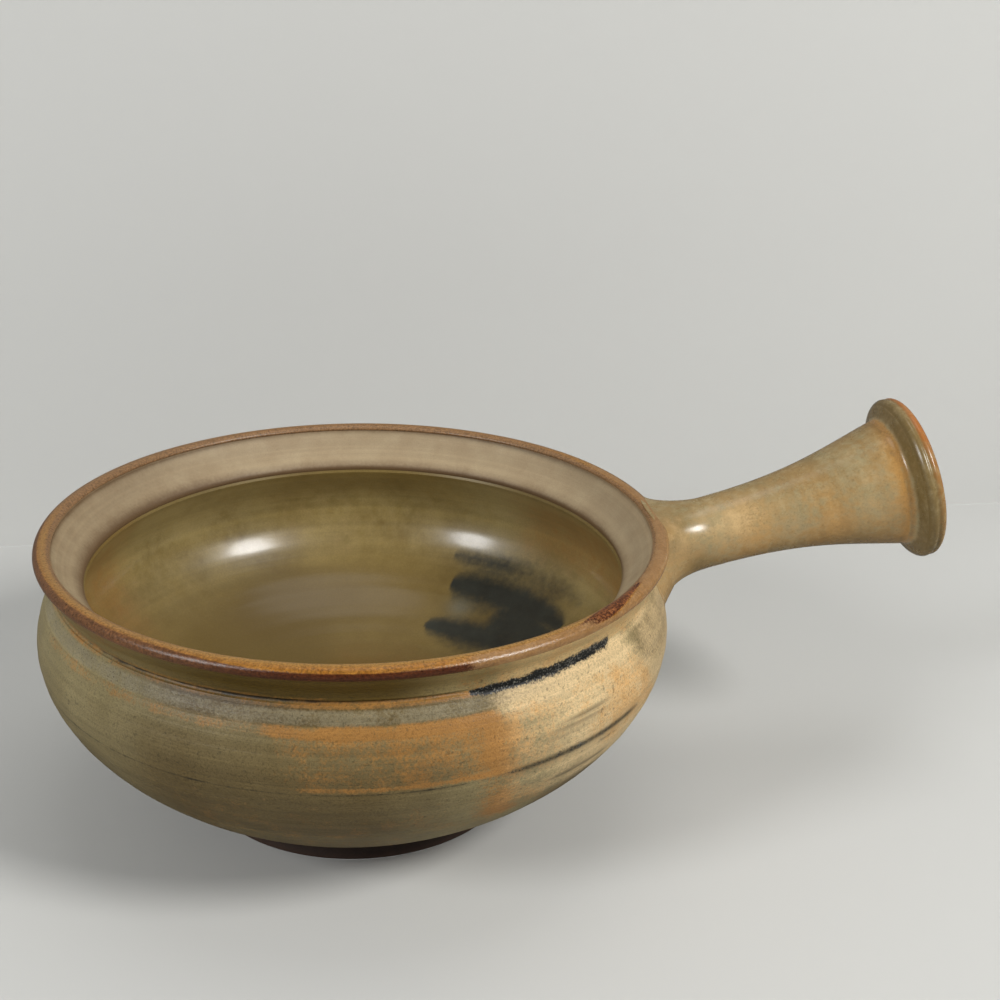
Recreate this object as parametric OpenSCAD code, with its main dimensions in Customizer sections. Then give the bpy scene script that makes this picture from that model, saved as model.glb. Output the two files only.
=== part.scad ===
// Lug soup bowl: a thrown stoneware bowl with a collar and one hollow, flared handle.
// The bowl stands on z = 0 with its axis on Z, and the handle points along +X.
// An outline is a list of [radius, height] that is turned about the axis of the bowl, or
// of [radius, distance] about the axis of the handle. It runs with the clay on its left.

/* [Bowl] */
// Radius of the lip at its widest
lip_r = 65; // [62:0.5:68]
// Height of the lip's crest over the table
bowl_h = 60; // [56:0.5:66]
// How far the belly, the widest place of the wall, stands out past the lip
belly_out = 0.75; // [0:0.25:4]
// Depth of the belly below the lip's crest
belly_drop = 20.6; // [18.6:0.2:23]
// Thickness of the wall at the belly
wall_t = 5; // [4:0.25:6.5]
// Thickness of the floor over the recess in the foot
floor_t = 6.4; // [5.4:0.2:8]

/* [Lip and collar] */
// Height of the rolled lip
lip_t = 2.9; // [2.5:0.1:3.4]
// Width of the rolled lip
lip_w = 3.7; // [3.2:0.1:4.2]
// How far the collar draws in from the lip at the incised groove
collar_in = 3.25; // [2.5:0.25:4.5]
// Depth of the groove below the lip's crest
groove_drop = 8.1; // [7.2:0.1:9.5]
// Depth of the groove's cut
groove_cut = 0.6; // [0.3:0.1:0.9]
// Width of the groove
groove_w = 1.1; // [0.8:0.1:1.6]
// How far the throat, the ridge under the bare band, stands in from the lip
throat_in = 9.8; // [8.8:0.1:11.6]
// Depth of the throat's ridge below the lip's crest
throat_drop = 8.8; // [7.5:0.1:10]
// Rounding of the throat's ridge
throat_round = 1.8; // [1.4:0.1:2.2]

/* [Foot] */
// Radius of the foot ring at the table
foot_r = 34.1; // [31:0.1:38]
// Height at which the wall leaves the foot
foot_h = 4.4; // [4:0.1:5.6]
// Depth of the recess inside the foot ring
foot_recess = 3; // [2.2:0.1:3.6]
// Width of the foot ring at the table
foot_ring_w = 5.5; // [4.5:0.1:7.5]
// Rounding of the foot ring's edges
foot_round = 0.8; // [0.5:0.1:1.1]

/* [Handle] */
// Reach of the handle from the lip's radius to the flange's middle, along its axis
handle_l = 57.1; // [50:0.1:64]
// Tilt of the handle over the horizontal, in degrees
handle_tilt = 13.8; // [11:0.1:16]
// Depth of the handle's axis below the lip's crest, at the lip's radius
handle_drop = 8.55; // [8.1:0.05:9.5]
// Radius of the handle's neck
neck_r = 7.65; // [7.2:0.05:8.2]
// Distance of the neck from the lip's radius
neck_at = 10.5; // [9:0.1:13]
// Thickness of the handle's wall
handle_wall_t = 3.2; // [2.8:0.1:3.4]
// Radius of the ridge before the flange
ridge_r = 13.8; // [12.8:0.1:14.6]
// Distance of the ridge from the flange's middle
ridge_back = 4.6; // [4.2:0.1:5.4]
// Radius of the flange at its widest
flange_r = 17.95; // [17:0.05:19]
// Thickness of the flange's rolled edge
flange_t = 4.6; // [4:0.1:5.2]

/* [Luting coil] */
// Radius of the coil inside the wall, before the wall cuts it
coil_r = 14.5; // [13:0.1:16]
// Distance from the lip's radius in to the coil's full radius
coil_in = 6; // [5:0.1:7]
// Distance from the lip's radius out to the coil's end on the neck
coil_out = 8; // [6:0.1:8.8]

/* [Glaze] */
// Thickness of the glaze
glaze_t = 0.5; // [0.3:0.05:0.7]

/* [Hidden] */

// Straight steps that stand for one curve
curve_steps = 9;
// Straight steps that stand for a roll
roll_steps = 6;
// Length by which a cut or a blind end runs past what it meets
overrun = 10;
// Faces of a round where it is shown as a mesh
$fn = 96;

bare_clay = [0.60, 0.50, 0.39];
dark_clay = [0.27, 0.19, 0.14];
rust_glaze = [0.50, 0.27, 0.13];
olive_glaze = [0.38, 0.31, 0.17];
sage_glaze = [0.57, 0.49, 0.31];
brown_glaze = [0.36, 0.29, 0.14];
ochre_glaze = [0.60, 0.46, 0.26];

belly_r = lip_r + belly_out;
groove_r = lip_r - collar_in;
throat_r = lip_r - throat_in;
lip_z = bowl_h - lip_t / 2;
belly_z = bowl_h - belly_drop;
groove_z = bowl_h - groove_drop;
throat_z = bowl_h - throat_drop;
handle_z = bowl_h - handle_drop;
floor_z = foot_recess + floor_t;
ridge_at = handle_l - ridge_back;
clay_neck_r = neck_r - glaze_t;

// Angles of the rolls and of the curves between them, in degrees
lip_from = -40;
lip_crest = 90;
lip_to = 165;
throat_from = 143;
throat_to = 205;
foot_slope = 25;
groove_slope = 57.5;
collar_slope = 60;
ridge_slope = 14;
flange_from = -60;
flange_to = 155;

// How far each curve runs on along its ends' own directions, as shares of its width or height
foot_pull_share = 0.55;
belly_pull_share = 0.40;
shoulder_pull_share = 0.31;
collar_pull_share = 0.33;
band_pull_share = 0.30;
throat_pull_share = 0.35;
wall_pull_share = 0.48;
floor_pull_share = 0.52;
neck_pull_share = 0.50;
ridge_pull_share = 0.32;
cove_pull_share = 0.45;
mouth_pull_share = 0.35;
coil_r_share = 0.17;
coil_in_share = 0.43;
coil_out_share = 0.125;

// Where a coat starts or ends along its curve
foot_bare_share = 0.06;
mouth_glaze_share = 0.16;

// The direction at an angle
function towards(angle) = [cos(angle), sin(angle)];

// Points of a cubic curve from a to d that leaves towards b and arrives from c
function curve(a, b, c, d, from = 0, to = 1, steps = curve_steps) = [
    for (i = [0:steps])
        let (t = from + (to - from) * i / steps, s = 1 - t)
        s * s * s * a + 3 * s * s * t * b + 3 * s * t * t * c + t * t * t * d
];

// The place at an angle on a round or oval roll of clay, with its half width and half height
function on_roll(centre, half_w, half_h, angle) = centre + [half_w * cos(angle), half_h * sin(angle)];

// Points of a roll between two angles
function roll(centre, half_w, half_h, from, to, steps = roll_steps) = [
    for (i = [0:steps]) on_roll(centre, half_w, half_h, from + (to - from) * i / steps)
];

// The points of a list from one place to another, both with it
function part_of(points, from, to) = [for (i = [from:to]) points[i]];

// All points of a list but the first, which the list before it holds already
function after_first(points) = part_of(points, 1, len(points) - 1);

// A list from its end to its start
function reversed(points) = [for (i = [len(points) - 1:-1:0]) points[i]];

// An outline moved into the clay by the glaze's thickness
function under_glaze(points) = [
    for (i = [0:len(points) - 1])
        let (before = points[max(i - 1, 0)], after = points[min(i + 1, len(points) - 1)])
        let (run = (after - before) / norm(after - before))
        points[i] + glaze_t * [-run[1], run[0]]
];

// Key places of the bowl's outline
wall_foot = [foot_r - foot_round / 2, foot_h];
belly = [belly_r, belly_z];
groove_low = [groove_r, groove_z - groove_w / 2];
groove_in = [groove_r - groove_cut, groove_z];
groove_high = [groove_r, groove_z + groove_w / 2];
lip_middle = [lip_r - lip_w / 2, lip_z];
lip_start = on_roll(lip_middle, lip_w / 2, lip_t / 2, lip_from);
lip_end = on_roll(lip_middle, lip_w / 2, lip_t / 2, lip_to);
throat_middle = [throat_r + throat_round, throat_z];
throat_start = throat_middle + throat_round * towards(throat_from);
throat_end = throat_middle + throat_round * towards(throat_to);
inner_belly = [belly_r - wall_t, belly_z];
floor_middle = [0, floor_z];

foot_pull = foot_pull_share * (belly_r - foot_r) * towards(foot_slope);
belly_pull = [0, belly_pull_share * (belly_z - foot_h)];
shoulder_pull = shoulder_pull_share * (groove_z - belly_z);
collar_pull = collar_pull_share * (lip_z - groove_z);
band_pull = band_pull_share * (lip_z - throat_z);
throat_pull = throat_pull_share * (throat_z - belly_z);

// The stretches of the bowl's finished outline, from the foot up, over the lip and in to the floor
wall_bare = curve(
    wall_foot, wall_foot + foot_pull, belly - belly_pull, belly,
    from = 0, to = foot_bare_share, steps = 1
);
wall_low = curve(
    wall_foot, wall_foot + foot_pull, belly - belly_pull, belly,
    from = foot_bare_share, to = 1, steps = 2 * curve_steps
);
shoulder = curve(
    belly, belly + [0, shoulder_pull], groove_low + shoulder_pull * towards(-groove_slope), groove_low
);
collar = curve(
    groove_high, groove_high + [0, collar_pull], lip_start - collar_pull * towards(collar_slope), lip_start
);
lip_outer = roll(lip_middle, lip_w / 2, lip_t / 2, lip_from, lip_crest);
lip_inner = roll(lip_middle, lip_w / 2, lip_t / 2, lip_crest, lip_to);
bare_band = curve(
    lip_end, lip_end + band_pull * towards(lip_to + 90), throat_start - band_pull * towards(throat_from + 90),
    throat_start
);
throat = roll(throat_middle, throat_round, throat_round, throat_from, throat_to);
inner_shoulder = curve(
    throat_end, throat_end + throat_pull * towards(throat_to + 90), inner_belly + [0, throat_pull], inner_belly
);
inner_low = curve(
    inner_belly, inner_belly - [0, wall_pull_share * (belly_z - floor_z)],
    [floor_pull_share * inner_belly[0], floor_z], floor_middle, steps = 2 * curve_steps
);

bowl_line = concat(
    wall_bare, after_first(wall_low), after_first(shoulder), [groove_in], collar,
    after_first(lip_outer), after_first(lip_inner), after_first(bare_band),
    after_first(throat), after_first(inner_shoulder), after_first(inner_low)
);

// Places in that outline where one surface gives way to the next
at_glaze = len(wall_bare) - 1;
at_groove = at_glaze + 2 * curve_steps + curve_steps + 1;
at_lip = at_groove + len(collar);
at_crest = at_lip + roll_steps;
at_band = at_crest + roll_steps;
at_throat = at_band + curve_steps;
at_lining = at_throat + roll_steps;
at_floor = len(bowl_line) - 1;

// The clay under the glaze. At the floor's middle it moves straight down, so it stays on the axis.
bowl_clay = concat(part_of(under_glaze(bowl_line), 0, at_floor - 1), [[0, floor_z - glaze_t]]);

// A coat of glaze between the finished outline and the clay, from one place to another
function coat(line, clay, from, to) = concat(part_of(line, from, to), reversed(part_of(clay, from, to)));

// Key places of the handle's outline
ridge = [ridge_r, ridge_at];
flange_middle = [flange_r - flange_t / 2, handle_l];
flange_start = flange_middle + flange_t / 2 * towards(flange_from);
flange_end = flange_middle + flange_t / 2 * towards(flange_to);
bore_neck = [neck_r - handle_wall_t, neck_at];

stem_l = ridge_at - neck_at;
cove_pull = cove_pull_share * norm(flange_start - ridge);
mouth_pull = mouth_pull_share * (handle_l - neck_at);

stem = curve(
    [neck_r, neck_at], [neck_r, neck_at + neck_pull_share * stem_l],
    ridge - ridge_pull_share * stem_l * towards(90 - ridge_slope), ridge, steps = 2 * curve_steps
);
cove = curve(
    ridge, ridge + [0, cove_pull], flange_start - cove_pull * towards(flange_from + 90), flange_start
);
flange = roll(flange_middle, flange_t / 2, flange_t / 2, flange_from, flange_to, steps = 2 * roll_steps);
mouth_in = flange_end + mouth_pull * towards(flange_to + 90);
mouth_glazed = curve(
    flange_end, mouth_in, bore_neck + [0, mouth_pull], bore_neck, from = 0, to = mouth_glaze_share, steps = 3
);
mouth_bare = curve(
    flange_end, mouth_in, bore_neck + [0, mouth_pull], bore_neck, from = mouth_glaze_share, to = 1
);

handle_line = concat(
    [[neck_r, -overrun], [neck_r, coil_out]], stem, after_first(cove), after_first(flange),
    after_first(mouth_glazed), after_first(mouth_bare), [[neck_r - handle_wall_t, -overrun]]
);
handle_clay = under_glaze(handle_line);
at_mouth = 1 + len(stem) + curve_steps + 2 * roll_steps + len(mouth_glazed) - 1;

// The coil's hollow side, from inside the wall out to the neck
coil_line = curve(
    [coil_r, -coil_in], [neck_r + coil_r_share * (coil_r - neck_r), -coil_in_share * coil_in],
    [neck_r, coil_out_share * coil_out], [neck_r, coil_out]
);

// Turns an outline about the bowl's axis
module turned(outline) {
    rotate_extrude() polygon(outline);
}

// Turns an outline about the handle's axis
module turned_on_handle(outline) {
    translate([lip_r, 0, handle_z]) rotate([0, 90 - handle_tilt, 0]) turned(outline);
}

// All that lies inside the bowl's outer surface, which whatever joins the wall is cut to
module inside_of_wall() {
    turned(concat(
        [[0, 0]], [[wall_foot[0], 0]], part_of(bowl_clay, 0, at_lip - 1), part_of(bowl_line, at_lip, at_crest),
        [[lip_middle[0], bowl_h + overrun], [0, bowl_h + overrun]]
    ));
}

// The coil and the neck in it as one solid, which opens the glaze on the wall
module handle_root() {
    turned_on_handle(concat([[0, -overrun], [coil_r, -overrun]], coil_line, [[0, coil_out]]));
}

// The thrown pot: floor, wall, collar and lip, with the clay that shows in the bare band
module bowl_body() {
    color(bare_clay) turned(concat([[0, foot_recess], [wall_foot[0], foot_recess]], bowl_clay));
}

// The ring of bare clay that the bowl stands on
module foot_ring() {
    ring_in = foot_r - foot_ring_w;
    color(dark_clay) turned(concat(
        [[ring_in, foot_recess]],
        roll([ring_in + foot_round, foot_round], foot_round, foot_round, 180, 270),
        roll([foot_r - foot_round, foot_round], foot_round, foot_round, 270, 360),
        [[wall_foot[0], foot_recess]]
    ));
}

// The hollow handle, scribed to the wall at its root and open in the flange
module handle() {
    color(bare_clay) difference() {
        turned_on_handle(handle_clay);
        inside_of_wall();
    }
}

// The coil of clay that joins the handle to the wall
module luting_coil() {
    color(sage_glaze) difference() {
        turned_on_handle(concat(
            [[clay_neck_r, -overrun], [coil_r, -overrun]], coil_line, [[clay_neck_r, coil_out]]
        ));
        inside_of_wall();
    }
}

// The iron-rich band round the lip
module lip_band() {
    color(rust_glaze) turned(coat(bowl_line, bowl_clay, at_lip, at_band));
}

// The dark coat on the collar, from the groove to the lip
module glaze_collar() {
    color(olive_glaze) difference() {
        turned(coat(bowl_line, bowl_clay, at_groove, at_lip));
        handle_root();
    }
}

// The coat on shoulder and belly, from above the foot to the groove
module glaze_outside() {
    color(sage_glaze) difference() {
        turned(coat(bowl_line, bowl_clay, at_glaze, at_groove));
        handle_root();
    }
}

// The glossy lining, from the throat down over the floor
module glaze_inside() {
    color(brown_glaze) turned(coat(bowl_line, bowl_clay, at_lining, at_floor));
}

// The coat on the handle, from the coil over the flange and just into the mouth
module glaze_handle() {
    color(ochre_glaze) turned_on_handle(coat(handle_line, handle_clay, 1, at_mouth));
}

bowl_body();
foot_ring();
handle();
luting_coil();
lip_band();
glaze_collar();
glaze_outside();
glaze_inside();
glaze_handle();
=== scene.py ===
"""A lug soup bowl of thrown stoneware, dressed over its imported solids.

The bowl stands on z = 0 with its axis on Z and its hollow handle along +X. Lengths are in
metres and angles in degrees. An outline is an array of [radius, height] that is turned about
an axis, and it runs with the clay on its left, so that its faces point outwards.
"""

import logging
from collections.abc import Callable
from dataclasses import dataclass, replace
from enum import Enum
from functools import partial

import bpy
import numpy as np
from mathutils import Matrix, Vector
from numpy.typing import NDArray


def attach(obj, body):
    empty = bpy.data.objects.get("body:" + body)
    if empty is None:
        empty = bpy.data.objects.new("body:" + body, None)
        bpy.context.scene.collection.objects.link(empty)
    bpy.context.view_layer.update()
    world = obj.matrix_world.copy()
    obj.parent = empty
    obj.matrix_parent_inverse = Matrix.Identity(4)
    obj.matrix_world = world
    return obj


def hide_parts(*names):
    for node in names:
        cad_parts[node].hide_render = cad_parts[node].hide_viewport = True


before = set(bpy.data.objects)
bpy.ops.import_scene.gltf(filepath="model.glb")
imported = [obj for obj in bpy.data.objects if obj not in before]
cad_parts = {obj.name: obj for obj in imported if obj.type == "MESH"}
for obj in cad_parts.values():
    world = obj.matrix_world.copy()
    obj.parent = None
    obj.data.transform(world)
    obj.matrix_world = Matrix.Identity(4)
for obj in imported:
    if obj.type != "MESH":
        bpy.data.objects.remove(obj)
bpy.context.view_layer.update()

Array = NDArray[np.float64]
Colour = tuple[float, float, float, float]
Fields = dict[str, Array]
Pair = tuple[float, float]
Node = bpy.types.Node
Socket = bpy.types.NodeSocket
Tree = bpy.types.NodeTree
Material = bpy.types.Material

MM = 0.001
BODY = "root"
# How many points each side of the groove has
GROOVE_POINTS = 7
# A coat's free edge starts this share of its swell's length in, so that it isn't a knife's edge
THINNEST = 0.0004
# What is smaller than this counts as nothing
TINY = 1e-6
LOG = logging.getLogger("lug_soup_bowl")


class Slot(Enum):
    """The record's material slots."""

    BARE_CLAY = "bare_clay"
    FOOT_CLAY = "foot_clay"
    JOINT_GLAZE = "joint_glaze"
    RUST_GLAZE = "rust_glaze"
    OLIVE_GLAZE = "olive_glaze"
    SAGE_GLAZE = "sage_glaze"
    BROWN_GLAZE = "brown_glaze"
    OCHRE_GLAZE = "ochre_glaze"


def tone(red: int, green: int, blue: int) -> Colour:
    """Turns a screen colour into the linear one that a shader takes.

    Args:
        red, green, blue: Shares of 255 as on a screen.

    Returns:
        The linear colour. Each share over 0.04045 is ((share + 0.055) / 1.055) to the power 2.4,
        and a lower one is share / 12.92.
    """
    share = np.array([red, green, blue]) / 255
    linear = np.where(share > 0.04045, ((share + 0.055) / 1.055) ** 2.4, share / 12.92)
    return (*(float(value) for value in linear), 1.0)


# Outlines


def heading(angle: float | Array) -> Array:
    """Returns the unit vector at an angle: its cosine and its sine."""
    return np.array([np.cos(np.radians(angle)), np.sin(np.radians(angle))])


def curve(a: Array, b: Array, c: Array, d: Array, count: int, start: float = 0.0, stop: float = 1.0) -> Array:
    """Gives points of the cubic curve from a to d that leaves towards b and arrives from c.

    Args:
        a, b, c, d: The curve's four poles, or those of a row of curves.
        count: How many points.
        start, stop: The stretch of the curve, each from 0 to 1.

    Returns:
        The points s^3 a + 3 s^2 t b + 3 s t^2 c + t^3 d, with s = 1 - t.
    """
    t = np.linspace(start, stop, count).reshape(-1, *[1] * np.ndim(a))
    s = 1 - t
    return s**3 * a + 3 * s * s * t * b + 3 * s * t * t * c + t**3 * d


def roll(centre: Array, half: float | Array, angles: Pair, count: int) -> Array:
    """Gives points of a round or oval roll of clay between two angles.

    Args:
        centre: The roll's middle.
        half: Half its thickness, or half its width and half its height.
        angles: The first and the last angle.
        count: How many points.

    Returns:
        Centre + half * [cos angle, sin angle] for each angle.
    """
    return centre + half * heading(np.linspace(*angles, count)).T


def join(*stretches: Array) -> Array:
    """Joins stretches end to end, each without its first point, which the one before it holds."""
    return np.vstack([stretches[0]] + [stretch[1:] for stretch in stretches[1:]])


def lengths(line: Array) -> Array:
    """Returns each point's distance along an outline from its start."""
    steps = np.linalg.norm(np.diff(line, axis=0), axis=1)
    return np.concatenate([[0.0], np.cumsum(steps)])


def inset(line: Array, depth: float | Array) -> Array:
    """Moves an outline into the clay on its left.

    Args:
        line: The outline.
        depth: How far each point moves, square to the outline's run there.

    Returns:
        The outline, moved.
    """
    run = np.vstack([line[1:], line[-1:]]) - np.vstack([line[:1], line[:-1]])
    run /= np.linalg.norm(run, axis=1)[:, None]
    return line + depth * np.column_stack([-run[:, 1], run[:, 0]])


def rippled(line: Array, depth: float, waves: tuple[float, ...], ease: float) -> Array:
    """Presses the shallow rings of a thrower's fingers into an outline.

    Args:
        line: The outline.
        depth: The deepest ring's depth.
        waves: The rings' lengths from one to the next. Each adds a cosine of the distance.
        ease: The length over which the rings fade out at both ends.

    Returns:
        The outline, moved into the clay by half the depth times one minus the mean cosine.
    """
    along = lengths(line)
    mean = np.mean([np.cos(2 * np.pi * along / wave + 9 * wave / waves[0]) for wave in waves], axis=0)
    fade = np.clip(np.minimum(along, along[-1] - along) / ease, 0, 1)
    return inset(line, (0.5 * depth * (1 - mean) * fade)[:, None])


def coat(line: Array, depth: float, soft: Pair = (0.0, 0.0), on_axis: bool = False) -> Array:
    """Makes the closed outline of a coat of glaze, with rounded free edges.

    Args:
        line: The glaze's outer outline.
        depth: Its thickness.
        soft: The length over which each end swells from nothing to the full thickness, along
            a quarter of a round. Zero leaves the end square.
        on_axis: Whether the last point lies on the axis, where the clay is straight below.

    Returns:
        The outer outline followed by every fourth point of the inner one, backwards.
    """
    clay = inset(line, depth)
    if on_axis:
        clay[-1] = line[-1] - [0, depth]
    along = lengths(line)
    swell = np.ones(len(line))
    for distance, ease in zip((along, along[-1] - along), soft):
        if ease:
            swell = np.minimum(swell, np.clip(distance / ease, THINNEST, 1))
    swell = np.sqrt(1 - (1 - swell) ** 2)
    outer = clay + (line - clay) * swell[:, None]
    marks = np.unique(np.append(np.arange(0, len(line), 4), len(line) - 1))
    return np.vstack([outer, clay[marks][::-1]])


def places(columns: int) -> Array:
    """Returns the angles of the places round an axis."""
    return np.linspace(0, 360, columns, endpoint=False)


def turn(line: Array, columns: int) -> Array:
    """Turns an outline about its axis.

    Args:
        line: The outline.
        columns: How many places round the axis.

    Returns:
        Points [outline, angle, 3] at radius cos angle, radius sin angle and height.
    """
    x, y = heading(places(columns))
    return np.stack(np.broadcast_arrays(line[:, :1] * x, line[:, :1] * y, line[:, 1:]), axis=-1)


def turned_field(radius: float, along: Array, columns: int) -> Array:
    """Gives the field `turned`: x and y on a round of one radius, and the distance along the outline."""
    x, y = radius * heading(places(columns))
    return np.stack(np.broadcast_arrays(x, y, along), axis=-1)


# Meshes


def build_piece(
    name: str,
    rings: Array,
    fields: Fields,
    slot: Slot,
    material: Material,
    node: str,
    closed: bool = True,
    crease: float = 35.0,
) -> None:
    """Makes a piece from rings of points, each joined to the next, and dresses it.

    Args:
        name: The piece's name.
        rings: Points [ring, place round it, 3]. The first or last ring may be one point, a pole.
        fields: A value or vector for each point, kept as an attribute of that name.
        slot, material: The piece's slot in the record and its finish.
        node: The solid that it stands for.
        closed: Whether the last ring is joined to the first.
        crease: The angle past which an edge stays sharp.
    """
    rows, columns = rings.shape[:2]
    ids = np.arange(rows * columns).reshape(rows, columns)
    for pole in (0, -1):
        if np.ptp(rings[pole], axis=0).max() < TINY:
            ids[pole] = ids[pole, 0]
    kept, place = np.unique(ids, return_inverse=True)
    ids = place.reshape(rows, columns)
    lower = ids if closed else ids[:-1]
    upper = np.roll(ids, -1, axis=0) if closed else ids[1:]
    quads = np.stack([lower, np.roll(lower, -1, 1), np.roll(upper, -1, 1), upper], axis=-1).reshape(-1, 4)
    used = np.ones(quads.shape, bool)
    used[:, 1] = quads[:, 0] != quads[:, 1]
    used[:, 3] = quads[:, 2] != quads[:, 3]
    corners = quads[used]
    totals = used.sum(axis=1)
    mesh = bpy.data.meshes.new(name)
    mesh.vertices.add(len(kept))
    mesh.vertices.foreach_set("co", rings.reshape(-1, 3)[kept].astype(np.float32).ravel())
    mesh.loops.add(len(corners))
    mesh.loops.foreach_set("vertex_index", corners.astype(np.int32))
    mesh.polygons.add(len(totals))
    mesh.polygons.foreach_set("loop_start", (np.cumsum(totals) - totals).astype(np.int32))
    mesh.polygons.foreach_set("use_smooth", np.ones(len(totals), bool))
    mesh.update(calc_edges=True)
    mesh.set_sharp_from_angle(angle=np.radians(crease))
    for field_name, values in fields.items():
        kind, key = ("FLOAT_VECTOR", "vector") if values.ndim == 3 else ("FLOAT", "value")
        layer = mesh.attributes.new(field_name, kind, "POINT")
        layer.data.foreach_set(key, values.reshape(rows * columns, -1)[kept].astype(np.float32).ravel())
    mesh.materials.append(material)
    piece = linked(name, mesh)
    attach(piece, BODY)
    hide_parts(node)
    LOG.info("%s: %d faces, %s, for %s", name, len(mesh.polygons), slot.value, node)


def linked(name: str, data: bpy.types.ID) -> bpy.types.Object:
    """Makes an object of its data in the scene.

    Args:
        name: The object's name.
        data: Its mesh, lamp or camera.

    Returns:
        The object, at the origin.
    """
    made = bpy.data.objects.new(name, data)
    bpy.context.scene.collection.objects.link(made)
    return made


# Fields that the finishes read

# A plateau that holds everywhere: its low and high ends and its softness
ALL = (-999.0, 999.0, 1.0)


def apart(angle: Array, centre: float) -> Array:
    """Returns how far an angle lies from a centre, from -180 to 180."""
    return (angle - centre + 180) % 360 - 180


def step(value: Array, at: float | Array, soft: float) -> Array:
    """Rises from 0 to 1 about a place, as 3 t^2 - 2 t^3 over a soft width."""
    t = np.clip((value - at) / soft + 0.5, 0, 1)
    return t * t * (3 - 2 * t)


def plateau(value: Array, low: float | Array, high: float | Array, soft: float) -> Array:
    """Is 1 between two places and 0 outside them, with soft edges."""
    return step(value, low, soft) * (1 - step(value, high, soft))


def hump(value: Array, centre: float | Array, width: float | Array) -> Array:
    """Is 1 at a centre and falls off as e to the minus ((value - centre) / width) squared."""
    return np.exp(-(((value - centre) / width) ** 2))


def patches(a: Array, z: Array, *rows: tuple[float | Array, tuple, tuple]) -> Array:
    """Adds up soft-edged patches.

    Args:
        a, z: Where each point is, in degrees round the bowl and millimetres up.
        rows: For each patch its amount, and its plateaus round and up: low, high and softness.

    Returns:
        The sum of each amount times its two plateaus.
    """
    return sum(amount * plateau(a, *across) * plateau(z, *up) for amount, across, up in rows)


def stroke(
    a: Array, z: Array, middle: float | Array, ends: Pair, half: float | Array, taper: float | Array
) -> Array:
    """Lays a brush stroke along the wall, thick in its middle and tapered to both ends.

    Args:
        a, z: Where each point is, in degrees round the bowl and millimetres up.
        middle: The height of the stroke's middle line at each point.
        ends: The azimuths of its ends.
        half: Half its thickness, in millimetres.
        taper: How early it thins out, from 0 for blunt ends.

    Returns:
        1 on the middle line, 0.5 at the stroke's edge and less outside. The thickness is half
        times 1 - u^2 to the power of the taper, with u from -1 at one end to 1 at the other.
    """
    u = apart(a, sum(ends) / 2) / ((ends[1] - ends[0]) / 2)
    thickness = half * np.clip(1 - u * u, 0, 1) ** taper
    amount = np.where(thickness > TINY, 1 - 0.5 * np.abs(z - middle) / np.maximum(thickness, TINY), 0)
    return np.clip(amount, 0, 1) * (np.abs(u) < 1)


# Finishes


def blank(owner: Material | bpy.types.World) -> Tree:
    """Gives a material or the world an empty node tree.

    Args:
        owner: The material or the world.

    Returns:
        Its node tree.
    """
    owner.use_nodes = True
    owner.node_tree.nodes.clear()
    return owner.node_tree


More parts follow.
